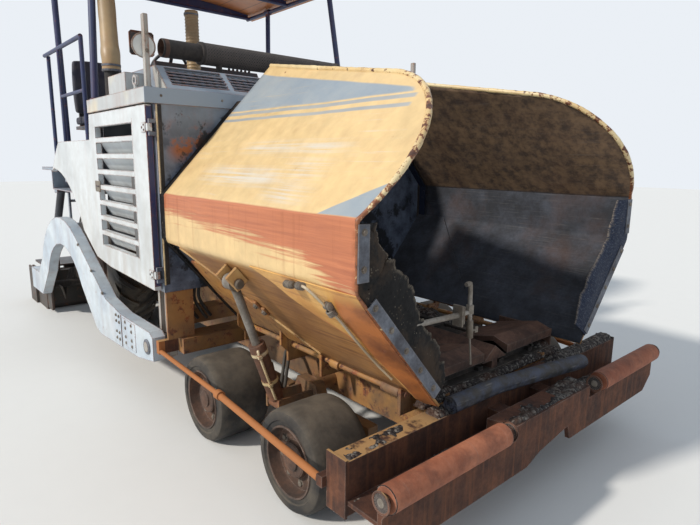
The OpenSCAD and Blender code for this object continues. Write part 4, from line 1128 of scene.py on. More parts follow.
def wing_flap(side, mirrored):
    """Torn rubber seal clamped under the strips: a sheet from the wing's front edge inwards. Its width follows a long
    swell with ragged tears, which are deep and toothed on the machine's right and soft on its left."""
    along = np.linspace(0.06, CREASE_UP - 0.01, 260)[:, None]
    across = np.linspace(0, 1, 20)[None]
    seed = 31 if mirrored else 47
    ragged = 1.0 if mirrored else 0.35
    width = 0.145 + 0.085 * np.sin(np.pi * (along - 0.1) / 0.9) + 0.05 * smooth_noise(along * 5, 0 * along, seed, 2)
    tear = smooth_noise(along * 26, 0 * along, seed + 1, 4)
    width += ragged * (0.03 * tear - 0.04 * np.clip(smooth_noise(along * 13, 0 * along, seed + 3, 2) - 0.25, 0, 1))
    points = wing_point(0 * along + 0 * across, along + 0 * across, -(0.01 + across * width))
    curl = 0.016 * smooth_noise(along * 6, across * 2, seed + 2, 4) * across + 0.026 * across ** 3
    points[..., 0] += 0.006 - curl
    shape = Shape().add(points, grid_quads(260, 20), 0, True, np.stack([across + 0 * along, along + 0 * across], -1))
    piece = shape.object("wing_rubber_" + side, ["flap_rubber"], "hopper_wing_" + side, "rubber_black",
        ["wing_seal_" + side], mirrored, closed=False)
    solid = piece.modifiers.new("thickness", "SOLIDIFY")
    solid.thickness, solid.offset = 0.006, 0.0
    return piece


def wing_lead(side, mirrored):
    """Thin hose with couplings, that runs over the knee and down the crease of the second plate."""
    stand = sizes().stand_off + 0.01
    line = [plate_point(b, u, h) for b, u, h in ((0.34, 0.8, 0.03), (0.276, 0.806, 0.034), (0.242, 0.778, 0.036),
        (0.21, 0.722, stand), (0.192, 0.68, stand), (0.18, 0.608, stand), (0.178, 0.455, stand),
        (0.158, 0.304, stand), (0.122, 0.225, stand + 0.004))]
    shape = pipe(Shape(), line, 0.0065, 0, 10, 110)
    for b, u, length_of in ((0.4, 0.786, 0.07), (0.31, 0.8, 0.045), (0.2, 0.705, 0.04)):
        step = np.array([0.5, -0.08]) * length_of
        ends = [plate_point(b + step[0], u + step[1], 0.03), plate_point(b, u, 0.033),
            plate_point(b - step[0], u - step[1], 0.032)]
        pipe(shape, ends, 0.014, 1, 12, 12, lambda run: 1 + 0.28 * np.sign(np.sin(run * 420)))
    pipe(shape, [plate_point(0.44, 0.772, 0.012), plate_point(0.43, 0.776, 0.032), plate_point(0.4, 0.785, 0.032)],
        0.008, 1, 10, 16)
    coil = np.linspace(0, 2 * np.pi * 4, 90)
    middle = plate_point(0.196, 0.69 - 0.004 * coil / np.pi, stand)
    lengthwise, outwards = np.array([1.0, 0, 0]), np.array([0, *PLATE_OUT])
    ring = middle + 0.017 * (np.cos(coil)[:, None] * lengthwise + np.sin(coil)[:, None] * outwards)
    pipe(shape, ring, 0.004, 1, 8, straight=True)
    return bent(shape.object("wing_lead_" + side, ["lead_tan", "bolt_steel"], "hopper_wing_" + side, "hopper_yellow",
        (), mirrored))


# wheels and rollers


def front_wheel(side, number, mirrored):
    """Solid tyre with rounded shoulders on a dished rim: two profiles of place across and radius carried round Y, with
    a ring of bolts."""
    centre = (at(FRONT_AXLE + AXLE_STEP * (number - 1)), 0, FRONT_WHEEL_R)
    shape = Shape()
    tyre = [(0.802, 0.182), (0.8, 0.2), (0.8, 0.236), (0.806, 0.25), (0.82, 0.259), (0.85, 0.2637), (0.965, 0.2642),
        (1.08, 0.2637), (1.108, 0.259), (1.122, 0.25), (1.128, 0.236), (1.129, 0.208), (1.122, 0.203), (1.121, 0.182),
        (0.802, 0.182)]
    lathe(shape, tyre, centre, 1, 96, 0)
    rim = [(0.95, 0), (0.95, 0.15), (0.812, 0.17), (0.808, 0.1815), (1.125, 0.1815), (1.1285, 0.179), (1.126, 0.172),
        (1.082, 0.167), (1.066, 0.158), (1.062, 0.105), (1.07, 0.093), (1.094, 0.088), (1.099, 0.08), (1.099, 0.052),
        (1.11, 0.048), (1.115, 0.03), (1.116, 0)]
    lathe(shape, rim, centre, 1, 72, 1)
    angle = np.arange(8) * np.pi / 4 + 0.2
    ring = np.stack([0.128 * np.cos(angle), 1.062 + 0 * angle, 0.128 * np.sin(angle)], -1) + np.array(centre)
    bolts(shape, ring, (0, 1, 0), 0.015, 2)
    return bent(shape.object("front_wheel_dressed_%s_%d" % (side, number), ["tyre_black", "wheel_disc", "bolt_steel"],
        "front_wheel_%s_%d" % (side, number), "tyre_black", ["front_wheel_%s_%d" % (side, number)], mirrored), 32)


def rear_wheel(side, mirrored):
    """Traction tyre: a profile carried round Y, and lugs that run from the middle of the tread to the shoulders along
    slanting arcs, each a ring of four corners at eight places."""
    centre = np.array([at(REAR_AXLE), 0, REAR_WHEEL_R])
    shape = Shape()
    base = REAR_WHEEL_R - sizes().lug
    tyre = [(0.545, 0.3), (0.528, 0.33), (0.514, 0.42), (0.513, 0.53), (0.53, 0.585), (0.56, base - 0.006),
        (0.64, base), (0.79, base), (0.87, base - 0.006), (0.9, 0.585), (0.917, 0.53), (0.916, 0.42), (0.902, 0.33),
        (0.885, 0.3), (0.545, 0.3)]
    lathe(shape, tyre, centre, 1, 120, 0)
    rim = [(0.56, 0), (0.56, 0.25), (0.538, 0.296), (0.54, 0.312), (0.552, 0.306), (0.878, 0.306), (0.892, 0.312),
        (0.894, 0.3), (0.87, 0.285), (0.83, 0.272), (0.822, 0.24), (0.83, 0.15), (0.846, 0.13), (0.872, 0.124),
        (0.878, 0.11), (0.878, 0)]
    lathe(shape, rim, centre, 1, 96, 1)
    count = 24
    start = np.arange(count) / count * 2 * np.pi
    t = np.linspace(0, 1, 8)
    for flip, shift in ((1, 0.0), (-1, np.pi / count)):
        across = 0.715 + flip * np.array([-0.012, 0.03, 0.07, 0.11, 0.15, 0.18, 0.194, 0.2])
        top = np.array([0.65, 0.65, 0.65, 0.649, 0.647, 0.642, 0.622, 0.59])
        low = np.array([base, base, base, base, base - 0.004, base - 0.008, 0.588, 0.56]) - 0.008
        turn = start[:, None] + shift + 0.34 * t[None] ** 1.15
        half = sizes().tread / 2 / REAR_WHEEL_R * (1 + 0.35 * t)
        radius = np.stack([low, top, top, low], -1)[None]
        angle = turn[..., None] + half[None, :, None] * np.array([-1.25, -0.85, 0.85, 1.25])
        lugs = np.stack([radius * np.cos(angle), np.broadcast_to(across[None, :, None], angle.shape),
            radius * np.sin(angle)], -1) + centre
        offsets = (np.arange(count) * 32)[:, None, None]
        walls = grid_quads(8, 4, wrap_columns=True)
        ends = np.array([[0, 1, 2, 3], [31, 30, 29, 28]])
        shape.add(lugs, (np.concatenate([walls, ends])[None] + offsets).reshape(-1, 4), 0, False)
    angle = np.arange(10) * np.pi / 5
    ring = np.stack([0.2 * np.cos(angle), 0.8265 + 0 * angle, 0.2 * np.sin(angle)], -1) + centre
    bolts(shape, ring, (0, 1, 0), 0.018, 2)
    return bent(shape.object("rear_wheel_dressed_" + side, ["tyre_black", "wheel_disc", "bolt_steel"],
        "rear_wheel_" + side, "tyre_black", ["rear_wheel_" + side], mirrored), 32)


def push_roller(side, mirrored):
    """Steel roller: a profile carried round Y, with three closed rings of crust just under its surface."""
    centre = (at(ROLLER_STATION), 0, ROLLER_HEIGHT)
    profile = [(0.4695, 0.0235), (0.4695, 0.05), (0.474, 0.0545)] + [(y, 0.0549) for y in np.linspace(0.49, 1.2, 30)]
    profile += [(1.214, 0.0545), (1.2185, 0.05), (1.2185, 0.0235)]
    shape = lathe(Shape(), profile, centre, 1, 64, 0)
    for low, high in ((0.472, 0.52), (0.735, 0.905), (1.15, 1.217)):
        y = np.linspace(low, high, 14)
        ring = [(low, 0.04)] + [(a, 0.0545) for a in y] + [(high, 0.04), (low, 0.04)]
        lathe(shape, ring, centre, 1, 60, 1)
    return bent(shape.object("push_roller_dressed_" + side, ["roller_terracotta", "asphalt_crust"],
        "push_roller_" + side, "roller_terracotta", ["push_roller_" + side], mirrored), 35)


def roller_bearings(side, mirrored):
    """Round covers on the rollers' bearing plates: a rim, a sunk dark disc and a bright pin head, carried round Y."""
    shape = Shape()
    for face, way in ((1.2432, 1), (0.4248, -1)):
        for ring, finish in (([(0, 0.046), (0.004, 0.046), (0.0055, 0.043), (0.004, 0.037), (0, 0.036)], 0),
                ([(0, 0.036), (0.0015, 0.036), (0.002, 0.018), (0, 0.018)], 1),
                ([(0, 0.018), (0.0045, 0.017), (0.0055, 0.01), (0.0055, 0)], 2)):
            lathe(shape, [(face + way * a, r) for a, r in ring], (at(ROLLER_STATION), 0, ROLLER_HEIGHT), 1, 40,
                finish)
    return bent(shape.object("roller_bearings_" + side, ["beam_rust", "guard_black", "bolt_steel"], "machine",
        "rubber_black", (), mirrored, closed=False), 30)


def crust_patch(shape, d0, d1, y0, y1, z, seed, amount):
    """Cake of asphalt on a flat top: height is noise above a threshold, falling to nothing at the rim, over a flat
    underside."""
    rows, columns = max(int((d1 - d0) / 0.012), 8), max(int((y1 - y0) / 0.014), 8)
    d, y = np.linspace(d0, d1, rows)[:, None], np.linspace(y0, y1, columns)[None]
    d, y = np.broadcast_arrays(d, y)
    rim = np.clip(np.minimum(np.minimum(d - d0, d1 - d), np.minimum(y - y0, y1 - y)) / 0.018, 0, 1)
    wide = smooth_noise(d * 5, y * 3.3, seed, 3)
    fine = smooth_noise(d * 38, y * 38, seed + 1, 3)
    h = np.clip(wide * 1.5 + 0.28 + amount + 0.35 * fine, 0, 1.1) * sizes().crust * rim
    top = np.stack([at(d), y, z - 0.004 + h + 0.004 * rim * (h > 0)], -1)
    low = np.stack([at(d), y, z - 0.012 + 0 * h], -1)
    return shell(shape, top, low)


def beam_crust():
    """Crust on the crossbeam, the shelf, the block between the rollers, the hopper's floor and its side gaps."""
    shape = Shape()
    crust_patch(shape, 0.292, 0.388, -1.19, -0.64, 0.54, 3, -0.42)
    crust_patch(shape, 0.292, 0.388, -0.64, 1.19, 0.54, 4, 0.1)
    crust_patch(shape, 0.08, 0.286, -1.19, -0.415, 0.37, 8, 0.25)
    crust_patch(shape, 0.08, 0.286, 0.415, 1.19, 0.37, 9, 0.25)
    crust_patch(shape, 0.056, 0.184, -0.358, 0.358, 0.51, 14, -0.05)
    crust_patch(shape, 0.384, 0.45, -0.645, 0.645, 0.566, 17, 0.4)
    for side in (-1, 1):
        low, high = sorted((side * 0.47, side * 0.618))
        crust_patch(shape, 0.43, 2.0, low, high, 0.593, 21 + side, 0.12)
    return shape.object("beam_crust", ["asphalt_crust"], "machine", "rubber_black")


def apron_roll():
    """Rolled rubber apron: a circle carried along a slightly bent line, its radius a spiral step plus folds."""
    t = np.linspace(0, 1, 110)[:, None]
    station = np.interp(t, [0, 0.34, 0.63, 1], [0.2945, 0.29, 0.242, 0.174])
    y = -0.556 + 1.052 * t
    angle = np.linspace(0, 2 * np.pi, 40, endpoint=False)[None]
    step = 0.9 + 0.1 * ((angle / (2 * np.pi) + 0.15 * t) % 1.0)
    r = 0.0445 * (step - 0.07 * np.abs(smooth_noise(t * 11, angle * 1.3, 21, 3)))
    path = np.stack([at(station), y, 0.5855 + 0 * y], -1)
    points = path + np.stack([r * np.cos(angle), 0 * r, r * np.sin(angle)], -1)
    shape = Shape().add(points, grid_quads(110, 40, wrap_columns=True), 0)
    for row in (0, -1):
        spokes = np.linspace(1, 0, 9)[:, None, None]
        disc = path[row] + (points[row][None] - path[row]) * spokes
        disc[..., 1] += (0.006 if row == 0 else -0.006) * np.sin(spokes[..., 0] * 30 + angle)
        shape.add(disc, grid_quads(9, 40, wrap_columns=True), 0)
    return bent(shape.object("apron_roll", ["apron_rubber"], "machine", "rubber_black", ["hopper_apron"]), 50)


def pointer_bar():
    """Direction pointer on the right wing's front edge: a level tube with flange plates, an upright tube with a clamp
    and a sleeve, and a thin rod below it."""
    shape = Shape()
    station = 0.285
    x = at(station)
    pipe(shape, spots((0.288, -0.985, 1.04), (0.287, -0.74, 1.033), (station, -0.545, 1.027)), 0.013, 0, 14, 30)
    slab(shape, (x - 0.03, -0.548, 0.975), (0.06, 0.01, 0.1), 1, soft=0.003)
    slab(shape, (x - 0.026, -0.53, 0.985), (0.052, 0.008, 0.086), 1, soft=0.003)
    pipe(shape, spots((station, -0.535, 1.027), (station, -0.47, 1.027)), 0.011, 0, 12, straight=True)
    pipe(shape, spots((station, -0.492, 1.162), (station, -0.47, 1.166), (station, -0.46, 1.15),
        (station, -0.456, 1.05), (station, -0.446, 0.905)), 0.011, 0, 14, 50)
    pipe(shape, spots((station, -0.4565, 1.06), (station, -0.4555, 1.02)), 0.02, 1, 6, straight=True)
    pipe(shape, spots((station, -0.4505, 0.985), (station, -0.4455, 0.9)), 0.016, 1, 16, straight=True)
    pipe(shape, spots((station, -0.446, 0.905), (station, -0.428, 0.762)), 0.005, 0, 10, straight=True)
    pipe(shape, spots((station, -0.447, 0.93), (station, -0.405, 0.93)), 0.005, 1, 8, straight=True)
    slab(shape, (x - 0.004, -0.408, 0.915), (0.008, 0.022, 0.03), 1, soft=0.002)
    return bent(shape.object("pointer_bar", ["rod_chrome", "bolt_steel"], "hopper_wing_right", "hopper_yellow"), 35)


def rear_seal(side, mirrored):
    """Rubber strip on the bulkhead that closes the gap behind a raised wing, a shell along the wing's profile, and a
    caked lining plate inside the fixed corner."""
    rise = np.linspace(0, 0.8, 12)[1:, None]
    line = np.concatenate([PROFILE, CREASE + rise * PANEL_DIR])
    step = np.gradient(line, axis=0)
    step /= np.linalg.norm(step, axis=1)[:, None]
    out = np.stack([step[:, 1], -step[:, 0]], -1)
    x = at(np.array([2.008, 2.03, 2.052, 2.0745]))
    grids = []
    for depth in (-0.002, -0.016):
        across = line + out * depth
        grids.append(np.stack([x[None] + 0 * across[:, :1], across[:, :1] + 0 * x[None], across[:, 1:] + 0 * x[None]],
            -1))
    shape = shell(Shape(), grids[0], grids[1], 0)
    up = np.linspace(0.03, 0.8, 30)[:, None]
    start, end = 0.8 + 0.9 * up, 1.804
    backs = start + (end - start) * np.linspace(0, 1, 36)
    lumps = 0.01 * np.clip(smooth_noise(backs * 9, up * 9, 61, 4), 0, 1)
    shell(shape, plate_point(backs, up, -0.02), plate_point(backs, up, -0.027 - lumps), 1)
    return bent(shape.object("rear_seal_" + side, ["flap_rubber", "hopper_inside"], "machine", "rubber_black", (),
        mirrored), 30)


# top of the machine


def exhaust_pipe():
    """Cross pipe with an open end, a perforated guard round its middle, saddles and clamps, all carried round Y."""
    centre = (at(2.395), 0, 2.42)
    shape = Shape()
    lathe(shape, [(-0.8, 0), (-0.8, 0.0515), (-0.996, 0.052), (-1.0, 0.055), (-0.996, 0.058), (-0.7, 0.058),
        (0.53, 0.058), (0.556, 0.05), (0.56, 0.03), (0.56, 0)], centre, 1, 48, 0)
    lathe(shape, [(-0.9995, 0.0512), (-0.985, 0.059), (-0.96, 0.0592), (-0.958, 0.0512), (-0.9995, 0.0512)], centre,
        1, 48, 1)
    collar(shape, -0.72, 0.45, 0.0685, 0.072, centre, 1, 64, 2)
    for y in (-0.735, 0.44):
        collar(shape, y, y + 0.022, 0.058, 0.0745, centre, 1, 48, 0)
    for y in (-0.6, 0.1, 0.4):
        slab(shape, (at(2.425), y, 2.284), (0.06, 0.02, 0.082), 0)
        slab(shape, (at(2.435), y - 0.015, 2.284), (0.08, 0.05, 0.01), 0)
        bolts(shape, [(at(2.428), y + 0.01, 2.294), (at(2.362), y + 0.01, 2.294)], (0, 0, 1), 0.009, 3)
    return bent(shape.object("exhaust_dressed", ["exhaust_black", "barrel_brown", "guard_black", "bolt_steel"],
        "machine", "exhaust_black", ["exhaust"]), 35)


def ducts():
    """Two air ducts: a smooth one on an elbow, clamped to its black foot, and a corrugated one whose radius is a wave
    along its length."""
    shape = Shape()
    pipe(shape, spots((2.96, -1.13, 2.131), (2.96, -1.13, 2.24), (2.96, -1.13, 2.345)), 0.05, 1, 32, straight=True)
    path = spots((2.96, -1.13, 2.33), (2.965, -1.128, 2.41), (3.01, -1.115, 2.5), (3.19, -1.06, 2.81),
        (3.3, -1.03, 3.02), (3.385, -1.005, 3.2), (3.4, -1.0, 3.3), (3.4, -1.0, 3.394))
    bulge = lambda run: 1 + 0.05 * smooth_noise(run * 6, 0 * run, 4, 2) + 0.1 * np.exp(-((run - 0.12) / 0.05) ** 2)
    pipe(shape, path, 0.06, 0, 32, 70, bulge)
    for z in (2.318, 2.352):
        collar(shape, z, z + 0.014, 0.05, 0.064, (at(2.96), -1.13, 0), 2, 40, 2)
    wave = lambda run: 1 + 0.045 * np.sin(run / 0.026 * 2 * np.pi)
    t = np.linspace(0, 3, 420)
    upright = np.stack([at(3.4) + 0.01 * np.sin(t), -0.3 + 0 * t, np.linspace(1.621, 2.945, 420)], -1)
    pipe(shape, upright, 0.056, 0, 28, ripple=wave, straight=True)
    for z in (1.64, 2.3, 2.91):
        collar(shape, z, z + 0.016, 0.05, 0.0605, (at(3.403), -0.3, 0), 2, 40, 2)
    return bent(shape.object("air_ducts_dressed", ["duct_tan", "exhaust_black", "strip_steel"], "machine", "duct_tan",
        ["air_ducts"]), 40)


def lamps():
    """Posts with a round lamp behind each: a dish and a domed glass carried round X, on a dark bracket."""
    shape = Shape()
    for k in (-1, 1):
        y = 1.175 * k
        centre = (at(2.222), y, 2.385)
        slab(shape, (at(2.215), y - 0.015, 2.131), (0.04, 0.03, 0.428), 0, soft=0.004)
        slab(shape, (at(2.228), y - 0.035, 2.131), (0.066, 0.07, 0.008), 0)
        lathe(shape, [(-0.055, 0), (-0.055, 0.03), (-0.045, 0.055), (-0.012, 0.072), (-0.002, 0.074), (0.0, 0.07),
            (-0.004, 0.066)], centre, 0, 40, 1)
        lathe(shape, [(-0.004, 0.066), (0.002, 0.052), (0.005, 0.025), (0.006, 0)], centre, 0, 40, 2)
        slab(shape, (at(2.262), y - 0.074, 2.33), (0.012, 0.148, 0.14), 3, soft=0.012)
        for z in (2.345, 2.44):
            slab(shape, (at(2.262), y - 0.012, z), (0.047, 0.024, 0.008), 3)
    bolt_rows = [(at(2.1755), 1.175 * k, z) for k in (-1, 1) for z in (2.35, 2.449)]
    bolts(shape, bolt_rows, (1, 0, 0), 0.008, 4)
    return bent(shape.object("work_lamps_dressed", ["lamp_grey", "lamp_grey", "lamp_glass", "dial_black",
        "bolt_steel"], "machine", "lamp_grey", ["work_lamps"]), 40)


def grille_mesh():
    """Sloping mesh panels behind the openings of the grille box, and the pale gussets at its ends."""
    shape = Shape()
    for i in range(5):
        low, high = -1.05 + 0.425 * i - 0.004, -1.05 + 0.425 * i + 0.384
        a, b = np.array([at(2.119), 2.152]), np.array([at(2.232), 2.262])
        up, wide = np.linspace(0, 1, 5)[:, None], np.linspace(low, high, 9)[None]
        face = np.stack([a[0] + (b[0] - a[0]) * up + 0 * wide, wide + 0 * up, a[1] + (b[1] - a[1]) * up + 0 * wide], -1)
        uv = np.stack([wide + 0 * up, 0.16 * up + 0 * wide], -1)
        back = face - np.array([0.004, 0, -0.004])
        ring = np.stack([face[:, 0], face[:, -1], back[:, -1], back[:, 0]], 1)
        shape.add(face, grid_quads(5, 9), 0, False, uv).add(back, grid_quads(5, 9)[:, ::-1], 0, False, uv)
        shape.add(ring[:, [1, 2]], grid_quads(5, 2), 0, False).add(ring[:, [3, 0]], grid_quads(5, 2), 0, False)
    for k in (-1, 1):
        y = sorted((1.1005 * k, 1.106 * k))
        tri = [(at(2.085), 2.131), (at(2.245), 2.283), (at(2.285), 2.283), (at(2.24), 2.131)]
        ring = np.array([[(x, yy, z) for x, z in tri] for yy in y])
        shape.add(ring, [grid_quads(2, 4, wrap_columns=True), np.array([[0, 1, 2, 3], [7, 6, 5, 4]])], 1, False)
    return shape.object("grille_mesh", ["mesh_black", "lamp_grey"], "machine", "body_bluegrey")


def door_fittings(side, mirrored):
    """Latch, handle, stiffening strip at the louvres, painted shade as a thin navy slab on the front edge, and hinge
    leaves of a side door.
    """
    shape = Shape()
    slab(shape, (at(3.15), SIDE_OUT - 0.002, 1.47), (0.11, 0.008, 0.08), 1, soft=0.004)
    pipe(shape, spots((3.055, SIDE_OUT + 0.002, 1.51), (3.07, SIDE_OUT + 0.005, 1.51),
        (3.13, SIDE_OUT + 0.0055, 1.512)), 0.006, 2, 10, 20)
    # thin navy slab on the door's front edge: painted shade of that edge
    slab(shape, (at(2.1025), 1.1985, 0.925), (0.003, 0.039, 1.1), 3, soft=0.001)
    # dark strip at the front end of the lower slots
    for i in range(5):
        z = 1.075 + 0.112 * i
        slab(shape, (at(2.34) - 0.068, 1.2, z + 0.001), (0.066, 0.034, 0.076), 4, soft=0.002)
    for z in (1.0, 1.9):
        slab(shape, (at(2.165), SIDE_OUT - 0.001, z - 0.03), (0.062, 0.008, 0.06), 0, soft=0.003)
        bolts(shape, [(at(2.12), SIDE_OUT + 0.007, z - 0.015), (at(2.12), SIDE_OUT + 0.007, z + 0.015),
            (at(2.148), SIDE_OUT + 0.007, z)], (0, 1, 0), 0.006, 2, 0.4, 1.2)
    slab(shape, (at(2.335) + 0.001, 1.19, 1.06), (0.008, 0.049, 0.905), 0, soft=0.002)
    return bent(shape.object("door_fittings_" + side, ["door_white", "bolt_steel", "dial_black", "post_navy",
        "louvre_dark"], "side_door_" + side, "door_white", (), mirrored))


def arm_fittings(side, mirrored):
    """Joint plates with rows of bolts and raised pads near the front of a levelling arm, and the tow pin's head."""
    shape = Shape()
    slab(shape, (at(2.76), SIDE_OUT - 0.003, 0.372), (0.25, 0.007, 0.206), 0, soft=0.003)
    slab(shape, (at(2.8), SIDE_OUT - 0.003, 0.345), (0.012, 0.006, 0.24), 2, soft=0.001)
    rows = [(at(d), SIDE_OUT + 0.004, z) for d in (2.7, 2.58) for z in (0.4, 0.445, 0.51, 0.555)]
    bolts(shape, rows, (0, 1, 0), 0.01, 1, 0.5, 1.3)
    rows = [(at(d), SIDE_OUT, z) for d in (2.84, 2.9) for z in (0.39, 0.44, 0.52, 0.565)]
    bolts(shape, rows, (0, 1, 0), 0.01, 1, 0.7, 1.3)
    lathe(shape, [(1.2385, 0), (1.2385, 0.052), (1.245, 0.052), (1.2485, 0.046), (1.2485, 0)], (at(2.295), 0, 0.48),
        1, 32, 3)
    edge = [(at(d), 1.2375, z) for d, z in ((3.2, 0.672), (3.45, 0.812), (3.78, 0.985))]
    bolts(shape, edge, (0, 1, 0), 0.012, 1, 0.6, 1.3)
    return bent(shape.object("arm_fittings_" + side, ["arm_white", "bolt_steel", "dial_black", "strip_steel"],
        "screed_unit", "arm_white", (), mirrored))


def cylinder_dressing(side, mirrored):
    """Barrel pieces of a wing cylinder: the barrel with its weld beads and gland carried along its axis, a feed pipe
    beside it, and its clamps."""
    foot, eye = np.array([at(EYE_STATION), 0.87, 0.34]), np.array([at(EYE_STATION), *EYE])
    axis = (eye - foot) / np.linalg.norm(eye - foot)
    aside = np.array([0, axis[2], -axis[1]])
    shape = Shape()
    turn = turned(0, -math.degrees(math.atan2(axis[1], axis[2])))
    profile = np.array([(0.036, 0), (0.036, 0.04), (0.042, 0.0435), (0.05, 0.0445), (0.32, 0.0445), (0.345, 0.0445),
        (0.348, 0.0475), (0.404, 0.0475), (0.409, 0.044), (0.409, 0.0252), (0.395, 0.0252)])
    lathe(shape, profile, (0, 0, 0), 2, 48, 0)
    shape.points[-1] = shape.points[-1] @ turn.T + foot
    collar(shape, -0.047, 0.047, 0.0205, 0.0375, foot, 0, 32, 0)
    side_line = np.array([1.0, 0, 0]) * 0.05 + aside * 0.03
    feed = [foot + axis * s + side_line * w
        for s, w in ((0.06, 0.75), (0.075, 1.0), (0.2, 1.0), (0.36, 1.0), (0.385, 0.75))]
    pipe(shape, feed, 0.008, 1, 10, 40)
    for s in (0.15, 0.34):
        collar(shape, s, s + 0.022, 0.0445, 0.048, (0, 0, 0), 2, 40, 2)
        shape.points[-1] = shape.points[-1] @ turn.T + foot
        c = foot + axis * (s + 0.011) + side_line
        slab(shape, (-0.012, -0.012, -0.011), (0.024, 0.024, 0.022), 2, turn, c)
    return bent(shape.object("wing_barrel_dressed_" + side, ["barrel_brown", "cream_seal", "cream_seal"],
        "wing_barrel_" + side, "barrel_brown", ["wing_barrel_" + side], mirrored), 35)


def under_wing_lines(side, mirrored):
    """Hoses from the chassis rail to the wing cylinder, steel lines along the rail, and their clips."""
    shape = Shape()
    r = sizes().hose
    for k, (sag, shift) in enumerate(((0.1, 0.0), (0.13, 0.035))):
        pipe(shape, spots((1.62, 0.5 + shift / 2, 0.46), (1.6, 0.56 + shift, 0.5), (1.5, 0.66 + shift, 0.52 - sag),
            (1.39, 0.76 + shift, 0.4 - sag / 2), (1.345, 0.83 + shift / 2, 0.44), (1.33, 0.885, 0.52 + k * 0.05)), r,
            0, 12, 60)
    for z, d0, d1 in ((0.545, 0.56, 2.0), (0.52, 0.62, 1.95)):
        pipe(shape, spots((d0, 0.476, z - 0.05), (d0 + 0.03, 0.484, z - 0.01), (d0 + 0.08, 0.486, z), (1.2, 0.487, z),
            (d1 - 0.06, 0.486, z), (d1, 0.48, z - 0.02)), 0.007, 1, 10, 80)
    for d in (0.75, 1.2, 1.7):
        slab(shape, (at(d) - 0.012, 0.469, 0.505), (0.024, 0.028, 0.055), 2)
    return bent(shape.object("under_wing_lines_" + side, ["hose_black", "rod_chrome", "bolt_steel"], "machine",
        "rubber_black", (), mirrored), 50)


def corner_fittings(side, mirrored):
    """Seal strip down the bulkhead's edge, a thin black slab of painted shade in the gap behind it, rivets on the lid's
    front and hoses behind the corner.
    """
    shape = Shape()
    pipe(shape, spots((2.07, 1.181, 0.935), (2.069, 1.181, 1.4), (2.07, 1.181, 2.036)), 0.0055, 0, 10, 60)
    # thin black slab in the gap behind the seal: painted shade
    slab(shape, (at(2.0748), 1.15, 0.935), (0.004, 0.026, 1.1), 1, soft=0.001)
    rivets = [(at(2.0652), y, 2.085) for y in (0.35, 0.75, 1.15)]
    bolts(shape, rivets, (1, 0, 0), 0.007, 2, 0.3, 1.2)
    for y0, x0 in ((0.93, 2.16), (0.98, 2.19), (0.88, 2.2)):
        pipe(shape, spots((x0, y0, 0.95), (x0 + 0.01, y0 + 0.02, 0.8), (x0 - 0.01, y0 - 0.02, 0.7),
            (x0, y0 - 0.06, 0.645)), sizes().hose, 3, 10, 40)
    return bent(shape.object("corner_fittings_" + side, ["cream_seal", "exhaust_black", "bolt_steel", "hose_black"],
        "machine", "lid_cream", (), mirrored), 50)


def console_controls():
    """Dials and a screen on the console's sloping top, and a row of levers with round knobs."""
    shape = Shape()
    slope = math.degrees(math.atan2(0.12, 0.2))
    turn = turned(1, -slope)
    origin = np.array([at(3.8), 0, 2.5])
    for y in (-0.44, -0.36, 0.02, 0.1, 0.18):
        ring = [(0.0, 0.034), (0.01, 0.034), (0.014, 0.03), (0.012, 0.027), (0.012, 0)]
        lathe(shape, ring, (0, 0, 0), 2, 28, 0)
        shape.points[-1] = shape.points[-1] @ turn.T + origin + np.array([0.0, y, 0.002])
    for y in np.arange(0.26, 0.49, 0.045):
        pipe(shape, [(0, 0, 0), (0.002, 0, 0.03), (0.008, 0, 0.075)], 0.004, 1, 8, 8)
        shape.points[-1] = shape.points[-1] + origin + np.array([0.0, y, 0.0])
        lathe(shape, [(0.066, 0), (0.068, 0.01), (0.08, 0.013), (0.092, 0.01), (0.095, 0)],
            origin + np.array([0.008, y, 0]), 2, 14, 0)
    slab(shape, (-0.06, -0.1, 0), (0.12, 0.2, 0.012), 0, turn, origin + np.array([0.0, -0.2, 0.0]), 0.004)
    return bent(shape.object("console_controls", ["dial_black", "bolt_steel"], "machine", "console_grey"), 40)


def seat_pad(name, corner, size, crown):
    """Padded seat part: two faces that crown outwards, by one less the fourth power of each place across, and a rim
    of rings that bows between them. Subdivision rounds it."""
    lo, size = np.array(corner, float), np.array(size, float)
    n = 15
    t = np.linspace(-1, 1, n)
    axis = int(np.argmin(size))
    a, b = (axis + 1) % 3, (axis + 2) % 3
    u, v = np.meshgrid(t, t, indexing="ij")
    shape = Shape()
    dome = (1 - u ** 4) * (1 - v ** 4)
    for face in (-1, 1):
        p = np.zeros((n, n, 3))
        pull = 1 - 0.05 * np.abs(u * v) ** 2
        p[..., a], p[..., b] = u * pull * size[a] / 2, v * pull * size[b] / 2
        p[..., axis] = face * (size[axis] / 2 * 0.72 + crown * dome)
        quads = grid_quads(n, n)
        shape.add(p + lo + size / 2, quads if face > 0 else quads[:, ::-1], 0)
    rim = np.concatenate([np.stack([t, -1 + 0 * t], -1)[:-1], np.stack([1 + 0 * t, t], -1)[:-1],
        np.stack([-t, 1 + 0 * t], -1)[:-1], np.stack([-1 + 0 * t, -t], -1)[:-1]])
    pull = (1 - 0.05 * np.abs(rim[:, 0] * rim[:, 1]) ** 2)[None]
    level = np.linspace(-1, 1, 7)[:, None]
    bow = 1 + 0.02 * (1 - level ** 2)
    p = np.zeros((7, len(rim), 3))
    p[..., a], p[..., b] = rim[None, :, 0] * pull * bow * size[a] / 2, rim[None, :, 1] * pull * bow * size[b] / 2
    p[..., axis] = level * size[axis] / 2 * 0.72
    shape.add(p + lo + size / 2, grid_quads(7, len(rim), wrap_columns=True), 0)
    piece = shape.object(name, ["seat_fabric"], "machine", "seat_fabric")
    soft = piece.modifiers.new("soft", "SUBSURF")
    soft.levels = soft.render_levels = 1
    return piece


